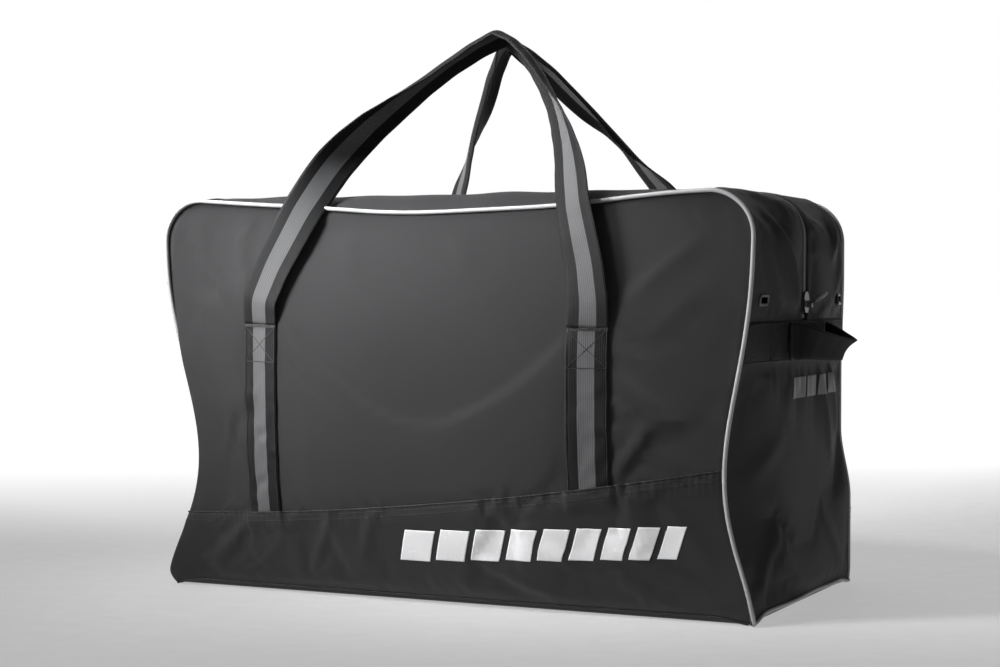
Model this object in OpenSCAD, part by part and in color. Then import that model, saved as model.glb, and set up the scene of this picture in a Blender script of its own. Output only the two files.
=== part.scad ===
// Soft-sided hockey equipment bag: a front, base and back wrap joined by a piped gusset, with a
// zip along the top and part way down each end, two long carrying handles and two end grab loops.
// X runs along the bag, the front faces -Y, Z is up, and the origin is under the middle of the base.

/* [Body] */
// Length between the two ends
body_l = 744; // [720:1:770]
// Depth between the front and back piped seams
body_d = 368; // [350:1:390]
// Height of the top fabric above the floor
body_h = 468; // [455:1:480]
// Radius of the outline's top corners
corner_r = 50; // [44:1:58]
// Thickness of a fabric solid
skin_t = 3.5; // [3:0.5:4]
// How far the front and back stand out at their middle
panel_bulge = 56; // [48:1:60]
// How far the piped seams draw in at the waist of each end
waist = 38; // [25:1:45]
// Share of that waist which the middle of an end does not follow
end_fullness = 0.85; // [0.7:0.05:0.9]
// How far the top seams lie below the top fabric at the corners
seam_drop = 4; // [2:1:6]
// How much further the top seams sag at mid length
seam_sag = 19; // [10:1:22]

/* [Base panels] */
// Height of the base panels' hem at mid length
hem_mid = 118; // [110:1:126]
// Rise of that hem from mid length to its high end
hem_rise = 38; // [20:1:42]
// Upward curve of the hem towards both ends
hem_curve = 10; // [0:1:14]
// Thickness of the flat bottom
bottom_t = 4; // [3:0.5:5]

/* [Piping] */
// Radius of the piping
piping_r = 3; // [2:0.5:3.5]

/* [Straps and handles] */
// Width of the webbing
strap_w = 48; // [44:1:52]
// Thickness of the webbing
strap_t = 2.4; // [2:0.2:3]
// Distance of each strap from mid length
strap_x = 208; // [200:1:215]
// Height of the stitched tack where a handle leaves the panel
tack_z = 322; // [316:1:326]

/* [Top opening] */
// Distance of each flap's fold from the zip
fold_y = 150; // [145:1:155]
// Half the width of the slot that the zip fills
zip_slot = 14; // [13:0.5:16]
// Pitch of the teeth on one side of the zip
tooth_pitch = 6; // [5:0.5:7]
// Length of a tooth along the zip
tooth_w = 2.4; // [2:0.1:2.6]
// Height of the seam between the lower end panel and the gusset above it
end_seam_z = 300; // [290:1:310]

/* [End fittings] */
// Height of the grab band's lower edge
band_z = 277; // [270:1:285]
// Height of the grab band itself
band_h = 47; // [44:1:50]
// Half the width of a grab loop
loop_half = 62; // [55:1:70]
// How far a grab loop stands out from its band
loop_reach = 44; // [38:1:48]
// Distance of each vent from the middle of the end
vent_y = 148; // [140:1:152]
// Height of the vents
vent_z = 347; // [343:1:352]
// Width of a vent's rim
vent_w = 28; // [24:1:32]
// Height of a vent's rim
vent_h = 13.5; // [12:0.5:15]

/* [Hidden] */
$fn = 32;

half_l = body_l / 2;
half_d = body_d / 2;
corner_z = body_h - corner_r;
corner_x = half_l - corner_r;
arc_len = PI * corner_r / 2;

fabric_clear = 0.3;       // between two neighbouring fabric solids
tape_t = 1.2;
tooth_h = 2.6;
tooth_in = 1.6;           // how far a tooth passes the middle of the zip
tooth_out = 6;            // how far it reaches on its own side
tape_half = 24;
flap_x = corner_x - 1.5;

fabric = [0.13, 0.13, 0.14];
coated = [0.10, 0.10, 0.11];
webbing = [0.07, 0.07, 0.08];
light_grey = [0.75, 0.76, 0.78];
mid_grey = [0.42, 0.43, 0.45];
dark_plastic = [0.16, 0.16, 0.17];

// ---- the shape that every panel shares ----

// How strongly the waist draws in at height z, from 0 to 1
function waist_at(z) = pow(sin(180 * pow(min(max(z / body_h, 0), 1), 0.64)), 3);
// 1 along the middle of an end, 0 at its seams
function end_middle(y) = max(0, 1 - pow(y / half_d, 2));
// 0 between the two folds of the top, 1 at its seams
function seam_ease(y) = pow(min(1, max(0, (abs(y) - fold_y) / (half_d - fold_y))), 1.5);
function sag_at(x) = seam_drop + seam_sag * pow(max(0, 1 - pow(x / half_l, 2)), 2);
function settle(p) = [
    p.x * (1 - waist * waist_at(p.z) * (1 - end_fullness * end_middle(p.y)) / half_l),
    p.y,
    p.z - sag_at(p.x) * pow(p.z / body_h, 3) * seam_ease(p.y)
];

// A point of the right half outline: s is the length up the end, round the corner and along the
// top, and inset is the distance inside the outline
function outline(s, inset = 0) =
    s <= corner_z ? [half_l - inset, s]
    : s <= corner_z + arc_len
        ? let(a = (s - corner_z) / corner_r * 180 / PI)
          [corner_x + (corner_r - inset) * cos(a), corner_z + (corner_r - inset) * sin(a)]
        : [corner_x - (s - corner_z - arc_len), body_h - inset];
function outline_turn(s) = min(90, max(0, (s - corner_z) / corner_r * 180 / PI));
function on_gusset(s, y, inset = 0) = let(p = outline(s, inset)) settle([p[0], y, p[1]]);

// Half the outline's length at height z
function reach_at(z) =
    z <= corner_z ? half_l : corner_x + sqrt(max(0, pow(corner_r, 2) - pow(z - corner_z, 2)));
function bulge_at(u, z) =
    panel_bulge * (1 - pow(abs(u), 2.5)) * (1 - pow(abs(2 * z / body_h - 1), 2.5));
// A point of the front: u runs from -1 to 1 across it, z is its height, out is how far it stands off
function on_front(u, z, out = 0) = settle([u * reach_at(z), -half_d, z]) - [0, bulge_at(u, z) + out, 0];
function hem_at(x) = hem_mid + hem_rise * x / half_l + hem_curve * pow(x / half_l, 2);

function span(from, to, steps) = [for (i = [0:steps]) from + (to - from) * i / steps];

// ---- solids from grids and rings of points ----

// A sheet with thickness between two grids; its rows and columns turn so that row x column is outward
module sheet_solid(outer, inner) {
    rows = len(outer);
    cols = len(outer[0]);
    all_rows = concat(outer, inner);
    function a(i, j) = i * cols + j;
    function b(i, j) = (rows + i) * cols + j;
    faces = concat(
        [for (i = [0:rows - 2], j = [0:cols - 2]) each [
            [a(i, j), a(i, j + 1), a(i + 1, j + 1)], [a(i, j), a(i + 1, j + 1), a(i + 1, j)],
            [b(i, j), b(i + 1, j + 1), b(i, j + 1)], [b(i, j), b(i + 1, j), b(i + 1, j + 1)]]],
        [for (j = [0:cols - 2]) each [
            [a(0, j + 1), a(0, j), b(0, j)], [a(0, j + 1), b(0, j), b(0, j + 1)],
            [a(rows - 1, j), a(rows - 1, j + 1), b(rows - 1, j + 1)],
            [a(rows - 1, j), b(rows - 1, j + 1), b(rows - 1, j)]]],
        [for (i = [0:rows - 2]) each [
            [a(i, 0), a(i + 1, 0), b(i + 1, 0)], [a(i, 0), b(i + 1, 0), b(i, 0)],
            [a(i + 1, cols - 1), a(i, cols - 1), b(i, cols - 1)],
            [a(i + 1, cols - 1), b(i, cols - 1), b(i + 1, cols - 1)]]]
    );
    polyhedron(points = [for (row = all_rows) each row], faces = faces, convexity = 6);
}

// A solid through rings of equal count, each turning left-handed to the way the rings advance
module ring_solid(rings) {
    n = len(rings[0]);
    last = (len(rings) - 1) * n;
    polyhedron(
        points = [for (ring = rings) each ring],
        faces = concat(
            [[for (k = [0:n - 1]) k]],
            [for (r = [0:len(rings) - 2], k = [0:n - 1]) each [
                [r * n + k, (r + 1) * n + k, (r + 1) * n + (k + 1) % n],
                [r * n + k, (r + 1) * n + (k + 1) % n, r * n + (k + 1) % n]]],
            [[for (k = [n - 1:-1:0]) last + k]]
        ),
        convexity = 6
    );
}

// ---- fabric panels ----

module bottom_panel() {
    color(coated)
        translate([-half_l + 0.5, -half_d + 0.5, 0])
            cube([body_l - 1, body_d - 1, bottom_t]);
}

// Part of the front between two heights, given for each place u across it
module front_piece(us, heights) {
    outer = [for (u = us) [for (z = heights(u)) on_front(u, z)]];
    inner = [for (u = us) [for (z = heights(u)) on_front(u, z, -skin_t)]];
    sheet_solid(outer, inner);
}

base_rows = 5;
panel_rows = 9;
corner_rows = 4;
cross_us = [-1, -0.94, -0.84, -0.7, -0.54, -0.36, -0.18, 0, 0.18, 0.36, 0.54, 0.7, 0.84, 0.94, 1];

function base_heights(u) = span(bottom_t + fabric_clear, hem_at(u * half_l), base_rows);
function panel_heights(u) = concat(
    span(hem_at(u * half_l) + fabric_clear, corner_z, panel_rows),
    [for (i = [1:corner_rows]) corner_z + corner_r * sin(90 * i / corner_rows)]
);

module front_base_panel() { color(coated) front_piece(cross_us, function(u) base_heights(u)); }
module back_base_panel() { rotate([0, 0, 180]) front_base_panel(); }
module front_panel() { color(fabric) front_piece(cross_us, function(u) panel_heights(u)); }
module back_panel() { rotate([0, 0, 180]) front_panel(); }

// Part of the gusset between lengths ss of the outline and places ys across it
module gusset_piece(ss, ys, out, thick) {
    sheet_solid(
        [for (y = ys) [for (s = ss) on_gusset(s, y, -out)]],
        [for (y = ys) [for (s = ss) on_gusset(s, y, thick - out)]]
    );
}

gusset_edge = half_d - skin_t - fabric_clear;
end_ys = span(-gusset_edge, gusset_edge, 8);
corner_ss = concat(span(end_seam_z + fabric_clear, corner_z, 3), [for (i = [1:6]) corner_z + arc_len * i / 6]);

module end_panel() {
    color(fabric) gusset_piece(span(bottom_t + fabric_clear, end_seam_z, 8), end_ys, 0, skin_t);
}
module right_end_panel() { end_panel(); }
module left_end_panel() { rotate([0, 0, 180]) end_panel(); }

// A rounded rectangle extruded through the end of the bag, w across it and h high
module vent_slot(w, h, corner, deep) {
    rotate([90, 0, 90])
        linear_extrude(height = deep, center = true)
            union() {
                square([w - 2 * corner, h], center = true);
                square([w, h - 2 * corner], center = true);
                for (side = [-1, 1], end = [-1, 1])
                    translate([side * (w / 2 - corner), end * (h / 2 - corner)]) circle(r = corner);
            }
}

vent_rim = 3.3;           // width of a vent's rim
vent_corner = 4.5;
vent_lap = 1.6;           // how far the rim lies over the fabric round its hole
module rear_gusset_half() {
    color(fabric) difference() {
        gusset_piece(corner_ss, span(zip_slot, gusset_edge, 4), 0, skin_t);
        translate([half_l, vent_y, vent_z])
            vent_slot(vent_w - 2 * vent_lap, vent_h - 2 * vent_lap, vent_corner - vent_lap, 40);
    }
}
module front_gusset_half() { mirror([0, 1, 0]) rear_gusset_half(); }
module right_end_rear_gusset() { rear_gusset_half(); }
module right_end_front_gusset() { front_gusset_half(); }
module left_end_rear_gusset() { mirror([1, 0, 0]) rear_gusset_half(); }
module left_end_front_gusset() { mirror([1, 0, 0]) front_gusset_half(); }

// The strip of the top between a piped seam and the flap's fold
fold_gap = skin_t / 2 + 0.6;
module rear_top_strip() {
    xs = span(corner_x, -corner_x, 14);
    ys = span(fold_y + fold_gap, gusset_edge, 4);
    color(fabric) sheet_solid(
        [for (y = ys) [for (x = xs) settle([x, y, body_h])]],
        [for (y = ys) [for (x = xs) settle([x, y, body_h]) - [0, 0, skin_t]]]
    );
}
module front_top_strip() { mirror([0, 1, 0]) rear_top_strip(); }

// ---- piping ----

piping_off = 0.75 * piping_r;
piping_sides = 8;
piping_ss = concat(
    span(bottom_t + piping_r, corner_z, 14),
    [for (i = [1:6]) corner_z + arc_len * i / 6],
    [for (i = [1:7]) corner_z + arc_len + corner_x * i / 7]
);
module seam_piping(y) {
    half = [for (s = piping_ss) let(p = outline(s, -piping_off)) [settle([p[0], y, p[1]]), outline_turn(s)]];
    left = [for (i = [len(half) - 2:-1:0]) [[-half[i][0].x, half[i][0].y, half[i][0].z], 180 - half[i][1]]];
    rings = [for (c = concat(half, left)) [for (k = [0:piping_sides - 1])
        let(a = 360 * k / piping_sides)
        c[0] + piping_r * (cos(a) * [cos(c[1]), 0, sin(c[1])] - sin(a) * [0, 1, 0])]];
    color(light_grey) ring_solid(rings);
}
module front_piping() { seam_piping(-half_d - piping_off); }
module rear_piping() { seam_piping(half_d + piping_off); }

base_piping_z = bottom_t + piping_r + 1;
module right_base_piping() {
    color(light_grey)
        translate([half_l + piping_r + fabric_clear, 0, base_piping_z])
            rotate([90, 0, 0]) cylinder(r = piping_r, h = body_d - 2 * piping_r, center = true);
}
module left_base_piping() { mirror([1, 0, 0]) right_base_piping(); }

// ---- straps and handles ----

// The place across the front, from -1 to 1, that lies at x once the waist has drawn in
function across_at(x, z) = x / settle([reach_at(z), -half_d, z]).x;
module panel_strap(middle) {
    xs = span(middle - strap_w / 2, middle + strap_w / 2, 2);
    function heights(x) = span(hem_at(x) + 2, tack_z, 9);
    function face(x, z, out) = on_front(across_at(x, z), z, out);
    color(webbing) sheet_solid(
        [for (x = xs) [for (z = heights(x)) face(x, z, fabric_clear + strap_t)]],
        [for (x = xs) [for (z = heights(x)) face(x, z, fabric_clear)]]
    );
}
module front_right_strap() { panel_strap(strap_x); }
module front_left_strap() { panel_strap(-strap_x); }
module rear_left_strap() { rotate([0, 0, 180]) front_right_strap(); }
module rear_right_strap() { rotate([0, 0, 180]) front_left_strap(); }

// The line of a handle's right side from its tack to the middle of the grip, for the front handle
front_route = [
    [208, -224, 324.5], [207, -227, 345], [197, -221, 385], [184, -214, 418], [172, -202, 450],
    [160, -181, 483], [151, -165, 506], [139, -145, 530], [124, -124, 555], [105, -101, 580],
    [82, -78, 606], [58, -58, 629], [32, -40, 649], [0, -29, 660]
];
rear_route = [
    [208, -224, 324.5], [206, -227, 345], [194, -221, 385], [180, -214, 418], [165, -202, 450],
    [144, -178, 488], [128, -160, 512], [113, -142, 536], [98, -124, 558], [80, -104, 581],
    [62, -84, 604], [45, -64, 626], [24, -44, 647], [0, -29, 660]
];
tack_lean = 8.5;          // turn of the webbing at its tack, which follows the panel
function unit(v) = v / norm(v);
module handle(route) {
    n = len(route);
    mirrored = [for (i = [n - 2:-1:0]) [-route[i].x, route[i].y, route[i].z]];
    line = concat(route, mirrored);
    last = len(line) - 1;
    rings = [for (i = [0:last])
        let(
            along = unit(line[min(last, i + 1)] - line[max(0, i - 1)]),
            up = pow(1 - abs(2 * i / last - 1), 1.3),
            lean = tack_lean * (1 - 2 * i / last) * (1 - up),
            facing = unit([sin(lean), -cos(lean) * (1 - 0.8 * up), up]),
            across = unit(cross(along, facing)),
            out = cross(across, along),
            w = across * strap_w / 2,
            t = out * strap_t / 2
        )
        [line[i] - w - t, line[i] + w - t, line[i] + w + t, line[i] - w + t]];
    color(webbing) ring_solid(rings);
}
module front_handle() { handle(front_route); }
module rear_handle() { rotate([0, 0, 180]) handle(rear_route); }

// ---- grab bands, loops and vents at the ends ----

band_t = 2.5;
band_clear = 1;           // the band spans the facets of two panels
module right_grab_band() {
    color(webbing)
        gusset_piece(span(band_z, band_z + band_h, 3), end_ys, band_clear + band_t, band_t);
}
module left_grab_band() { rotate([0, 0, 180]) right_grab_band(); }

loop_t = 4;
loop_gap = 12;            // bare stretch between the band's face and the loop's ends
band_x = half_l + band_clear + band_t;
function loop_line(inset) = [for (a = [0:9:180])
    [loop_gap + (loop_reach - loop_gap - inset) * pow(sin(a), 0.6), -(loop_half - inset) * cos(a) / pow(max(abs(cos(a)), 0.001), 0.25)]];
module right_grab_loop() {
    outside = loop_line(0);
    inside = loop_line(loop_t);
    color(webbing)
        translate([band_x, 0, band_z + 0.5])
            linear_extrude(height = band_h - 1)
                polygon(concat(outside, [for (i = [len(inside) - 1:-1:0]) inside[i]]));
}
module left_grab_loop() { rotate([0, 0, 180]) right_grab_loop(); }

vent_proud = 1.6;
vent_x = on_gusset(vent_z, vent_y).x + 1.5;
module vent() {
    color(dark_plastic)
        translate([vent_x + vent_proud / 2, vent_y, vent_z])
            difference() {
                vent_slot(vent_w, vent_h, vent_corner, vent_proud);
                vent_slot(vent_w - 2 * vent_rim, vent_h - 2 * vent_rim, vent_corner - vent_rim, 10);
            }
}
module right_rear_vent() { vent(); }
module right_front_vent() { mirror([0, 1, 0]) vent(); }
module left_rear_vent() { mirror([1, 0, 0]) vent(); }
module left_front_vent() { mirror([1, 0, 0]) right_front_vent(); }

// ---- zip ----

module right_end_zipper_tape() {
    color(webbing)
        gusset_piece(corner_ss, span(-tape_half, tape_half, 2), -skin_t - fabric_clear, tape_t);
}
module left_end_zipper_tape() { rotate([0, 0, 180]) right_end_zipper_tape(); }

first_tooth_s = band_z + band_h + 8;
end_teeth = floor((corner_z + arc_len - first_tooth_s) / (tooth_pitch / 2)) - 1;
module right_end_zipper_teeth() {
    color(mid_grey)
        for (i = [0:end_teeth]) {
            s = first_tooth_s + i * tooth_pitch / 2;
            p = on_gusset(s, 0, skin_t - tooth_h / 2);
            translate(p)
                rotate([0, -outline_turn(s), 0])
                    translate([0, (i % 2 == 0 ? 1 : -1) * (tooth_out - tooth_in) / 2, 0])
                        cube([tooth_h, tooth_out + tooth_in, tooth_w], center = true);
        }
}
module left_end_zipper_teeth() { mirror([1, 0, 0]) right_end_zipper_teeth(); }

stop_h = 4;
module right_zipper_stop() {
    color(dark_plastic)
        translate(on_gusset(first_tooth_s - stop_h, 0, skin_t - tooth_h / 2))
            cube([tooth_h, 2 * tooth_out, stop_h], center = true);
}
module left_zipper_stop() { mirror([1, 0, 0]) right_zipper_stop(); }

module rear_flap() {
    color(fabric)
        translate([-flap_x, zip_slot, body_h - skin_t]) cube([2 * flap_x, fold_y - zip_slot, skin_t]);
}
module front_flap() { mirror([0, 1, 0]) rear_flap(); }

module rear_zipper_tape() {
    color(webbing)
        translate([-flap_x, 2.5, body_h - skin_t - tape_t])
            cube([2 * flap_x, tape_half - 2.5, tape_t]);
}
module front_zipper_tape() { mirror([0, 1, 0]) rear_zipper_tape(); }

// One side of the top zip: a spine with teeth that pass between those of the other side
module zip_comb(shift) {
    spine_y = 3.2;
    teeth = floor((2 * flap_x - tooth_pitch) / tooth_pitch);
    from = -(teeth - 1) * tooth_pitch / 2 + shift;
    edge = [for (i = [0:teeth - 1]) let(x = from + i * tooth_pitch) each [
        [x - tooth_w / 2, spine_y], [x - tooth_w / 2, -tooth_in],
        [x + tooth_w / 2, -tooth_in], [x + tooth_w / 2, spine_y]]];
    color(mid_grey)
        translate([0, 0, body_h - skin_t])
            linear_extrude(height = tooth_h)
                polygon(concat(edge, [[flap_x, spine_y], [flap_x, tooth_out], [-flap_x, tooth_out],
                    [-flap_x, spine_y]]));
}
module rear_zipper_teeth() { zip_comb(-tooth_pitch / 4); }
module front_zipper_teeth() { mirror([0, 1, 0]) zip_comb(tooth_pitch / 4); }

// ---- slider ----

slider_l = 24;
slider_w = 17;
slider_z = 332;           // height of the slider's lower end when the zip is closed
plate_x = half_l + 0.4;   // inner face of the slider's plate
plate_t = 2;
pin_r = 1.4;
pin_hole_r = 1.46;
pin_x = plate_x + plate_t + 3.4;
pin_z = slider_z + 10;
crown_w = 5;
crown_h = 8;

module zipper_slider() {
    color(dark_plastic) difference() {
        union() {
            translate([plate_x, 0, slider_z])
                rotate([90, 0, 90])
                    linear_extrude(height = plate_t)
                        polygon([[-5, 0], [5, 0], [slider_w / 2, 7], [slider_w / 2, 19], [4, slider_l],
                            [-4, slider_l], [-slider_w / 2, 19], [-slider_w / 2, 7]]);
            for (side = [-1, 1])
                translate([plate_x - 2.6, side * (slider_w / 2 - 0.7) - 0.7, slider_z + 7])
                    cube([2.6, 1.4, 12]);
            translate([plate_x + plate_t, -crown_w / 2, pin_z - crown_h / 2]) cube([6.4, crown_w, crown_h]);
        }
        translate([pin_x, 0, pin_z]) rotate([90, 0, 0]) cylinder(r = pin_hole_r, h = 30, center = true);
    }
}

pull_rise = 30;           // angle at which the pull stands out
pull_arm = 9;
grip_l = 18;
module pull_frame() { translate([pin_x, 0, pin_z]) rotate([0, -pull_rise, 0]) children(); }
module zipper_pull() {
    color(dark_plastic) pull_frame() {
        rotate([90, 0, 0]) cylinder(r = pin_r, h = crown_w + 3, center = true);
        for (side = [-1, 1])
            translate([-pin_r, side * (crown_w / 2 + 1.1) - 0.8, -pin_r]) cube([pull_arm, 1.6, 2 * pin_r]);
        translate([pull_arm - pin_r - 1.5, -crown_w / 2 - 1.9, -pin_r])
            cube([4, crown_w + 3.8, 2 * pin_r]);
    }
}
module pull_grip() {
    color(light_grey) pull_frame()
        translate([pull_arm - pin_r + 2.5, 0, 0])
            linear_extrude(height = 3, center = true)
                union() {
                    translate([0, -4.5]) square([grip_l - 4.5, 9]);
                    translate([grip_l - 4.5, 0]) circle(r = 4.5);
                }
}

bottom_panel();
front_base_panel();
back_base_panel();
front_panel();
back_panel();
right_end_panel();
left_end_panel();
right_end_front_gusset();
right_end_rear_gusset();
left_end_front_gusset();
left_end_rear_gusset();
front_top_strip();
rear_top_strip();
front_piping();
rear_piping();
right_base_piping();
left_base_piping();
front_right_strap();
front_left_strap();
rear_right_strap();
rear_left_strap();
right_grab_band();
left_grab_band();
right_front_vent();
right_rear_vent();
left_front_vent();
left_rear_vent();
right_end_zipper_tape();
left_end_zipper_tape();
right_end_zipper_teeth();
left_end_zipper_teeth();
right_zipper_stop();
left_zipper_stop();
front_flap();
front_zipper_tape();
front_zipper_teeth();
rear_flap();
rear_zipper_tape();
rear_zipper_teeth();
front_handle();
rear_handle();
right_grab_loop();
left_grab_loop();
zipper_slider();
zipper_pull();
pull_grip();
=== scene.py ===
"""Looks of the hockey equipment bag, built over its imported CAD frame.

Everything is in metres. The front faces -Y, the right end +X, and the origin is under the middle of the base.
"""

import math

import bmesh
import bpy
import numpy as np
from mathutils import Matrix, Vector


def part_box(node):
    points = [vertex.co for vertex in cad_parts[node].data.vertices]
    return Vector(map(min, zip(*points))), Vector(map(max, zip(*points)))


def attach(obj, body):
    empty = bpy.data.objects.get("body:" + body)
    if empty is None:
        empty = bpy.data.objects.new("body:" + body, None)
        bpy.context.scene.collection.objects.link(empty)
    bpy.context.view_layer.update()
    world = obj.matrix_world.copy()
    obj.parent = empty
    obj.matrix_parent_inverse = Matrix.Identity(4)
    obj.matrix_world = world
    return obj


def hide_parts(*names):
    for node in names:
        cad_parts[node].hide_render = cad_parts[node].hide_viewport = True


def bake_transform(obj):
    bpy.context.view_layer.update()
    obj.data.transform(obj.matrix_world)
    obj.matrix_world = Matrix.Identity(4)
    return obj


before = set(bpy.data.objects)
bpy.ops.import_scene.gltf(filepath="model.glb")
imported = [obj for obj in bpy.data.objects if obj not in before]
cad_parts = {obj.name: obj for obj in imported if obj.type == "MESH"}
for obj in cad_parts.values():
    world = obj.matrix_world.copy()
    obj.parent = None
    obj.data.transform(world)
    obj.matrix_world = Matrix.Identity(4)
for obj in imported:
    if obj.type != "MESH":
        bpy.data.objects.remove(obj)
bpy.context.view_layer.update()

MM = 0.001

# ---------------------------------------------------------------- camera

camera_data = bpy.data.cameras.new("camera")
camera_data.lens = 72.8
camera_data.sensor_width = 36
camera = bpy.data.objects.new("camera", camera_data)
camera.location = (1.0593, -2.2261, 0.3606)
camera.rotation_euler = (math.radians(90 - 1.30), 0, math.radians(25.73))
bpy.context.scene.collection.objects.link(camera)
bpy.context.scene.camera = camera

# ---------------------------------------------------------------- sizes, as in part.scad

bottom_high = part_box("bottom_panel")[1]
flap_low, flap_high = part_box("rear_flap")
strap_low, strap_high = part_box("front_right_strap")
vent_low, vent_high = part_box("right_rear_vent")

HALF_L = bottom_high.x + 0.5 * MM
HALF_D = bottom_high.y + 0.5 * MM
BODY_H = flap_high.z
CORNER_R = 50 * MM
CORNER_X = HALF_L - CORNER_R
CORNER_Z = BODY_H - CORNER_R
ARC = math.pi / 2 * CORNER_R
PANEL_BULGE = 56 * MM
WAIST_LEFT = 47 * MM
WAIST_RIGHT = 32 * MM
END_FULLNESS = 0.85
REAR_LEAN_IN = 12 * MM    # how far the rear right seam leans in above its foot
SEAM_DROP = 4 * MM
SEAM_SAG = 19 * MM
FOLD_Y = flap_high.y
ZIP_SLOT = flap_low.y
HEM_MID = 118 * MM
HEM_RISE = 38 * MM
HEM_CURVE = 10 * MM
END_SEAM_Z = 300 * MM
STRAP_X = (strap_low.x + strap_high.x) / 2
STRAP_W = strap_high.x - strap_low.x
STRAP_T = 2.4 * MM
TACK_Z = 321.5 * MM
BAND_Z = 277 * MM
BAND_H = 47 * MM
BAND_OUT = 3.5 * MM
VENT_Y = (vent_low.y + vent_high.y) / 2
VENT_Z = (vent_low.z + vent_high.z) / 2
VENT_W = vent_high.y - vent_low.y
VENT_H = vent_high.z - vent_low.z
VENT_RIM = 3.3 * MM
VENT_LAP = 1.6 * MM
CLOTH_T = 2.2 * MM
PIPING_R = 2.4 * MM
PIPING_OFF = 2.2 * MM
SEAM_Z = 8 * MM           # height of the seam round the bottom panel
SEAM_LOW = 1.8 * MM       # and its height at the corners, where the bag rests on the floor
FOOT_LEFT = 20 * MM       # rounding of the left end's foot
FOOT_RIGHT = 4 * MM
STITCH = 3.2 * MM

# ---------------------------------------------------------------- surfaces of the bag


def unit(v):
    """The same vectors at length one."""
    return v / np.linalg.norm(v, axis=-1, keepdims=True)


def smoothstep(x, low, high):
    """0 below low, 1 above high, and a smooth change in between."""
    t = np.clip((x - low) / (high - low), 0, 1)
    return t * t * (3 - 2 * t)


def waist_at(z):
    """How much of the waist the bag has at height z, from 0 to 1."""
    return np.sin(math.pi * np.clip(z / BODY_H, 0, 1) ** 0.64) ** 3


def sag_at(x):
    """How far the long top seams hang at x."""
    return SEAM_DROP + SEAM_SAG * np.maximum(0, 1 - (x / HALF_L) ** 2) ** 2


def foot_at(x, z):
    """How far an end tucks in at its foot."""
    radius = np.where(x < 0, FOOT_LEFT, FOOT_RIGHT)
    below = radius - np.clip(z, 0, radius)
    return radius - np.sqrt(radius**2 - below**2)


def seam_at(from_corner):
    """Height of the bottom seam, by the distance from the bag's corner."""
    return SEAM_LOW + (SEAM_Z - SEAM_LOW) * smoothstep(from_corner, 0.0, 0.045)


def settle(x, y, z):
    """Where a point of the plain box goes once the ends draw in and the long top seams hang."""
    x, y, z = np.broadcast_arrays(x, y, z)
    end_middle = np.maximum(0, 1 - (y / HALF_D) ** 2)
    seam_ease = np.clip((np.abs(y) - FOLD_Y) / (HALF_D - FOLD_Y), 0, 1) ** 1.5
    waist = np.where(x < 0, WAIST_LEFT, WAIST_RIGHT)
    drawn = waist * waist_at(z)
    straighter = smoothstep(y, 0.0, HALF_D) * (x > 0)
    drawn = drawn * (1 - straighter) + REAR_LEAN_IN * smoothstep(z, 0.105, 0.19) * straighter
    drawn = drawn * (1 - END_FULLNESS * end_middle) / HALF_L
    tucked = foot_at(x, z) * x / HALF_L
    return np.stack([x * (1 - drawn) - tucked, y, z - sag_at(x) * (z / BODY_H) ** 3 * seam_ease], axis=-1)


def outline(s, out=0.0):
    """X and Z of the end's outline, s along it from the floor over the top corner."""
    turn = np.clip((s - CORNER_Z) / CORNER_R, 0, math.pi / 2)
    past = np.maximum(0, s - CORNER_Z - ARC)
    x = CORNER_X + (CORNER_R + out) * np.cos(turn) - past
    z = np.minimum(s, CORNER_Z) + (CORNER_R + out) * np.sin(turn)
    return x, z


def reach_at(z):
    """Half the length of the plain box at height z, less in the rounded top corners."""
    over = np.clip(z - CORNER_Z, 0, CORNER_R)
    return CORNER_X + np.sqrt(CORNER_R**2 - over**2)


def bulge_at(u, z):
    """How far the stuffed front bellies out, u from -1 to 1 across it."""
    return PANEL_BULGE * (1 - np.abs(u) ** 2.5) * (1 - np.abs(2 * z / BODY_H - 1) ** 2.5)


def hem_at(side, x):
    """Height of the base panel's hem. The back is the front turned half a turn."""
    x = -side * x
    return HEM_MID + HEM_RISE * x / HALF_L + HEM_CURVE * (x / HALF_L) ** 2


def fold(a, b, start, end, width, height):
    """A soft fold from start to end on a surface with coordinates a and b."""
    run_a = end[0] - start[0]
    run_b = end[1] - start[1]
    length = math.hypot(run_a, run_b)
    t = ((a - start[0]) * run_a + (b - start[1]) * run_b) / length**2
    off = ((a - start[0]) * run_b - (b - start[1]) * run_a) / length
    fade = np.sin(math.pi * np.clip(t, 0, 1)) ** 0.8
    return height * fade * np.exp(-((off / width) ** 2))


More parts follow.
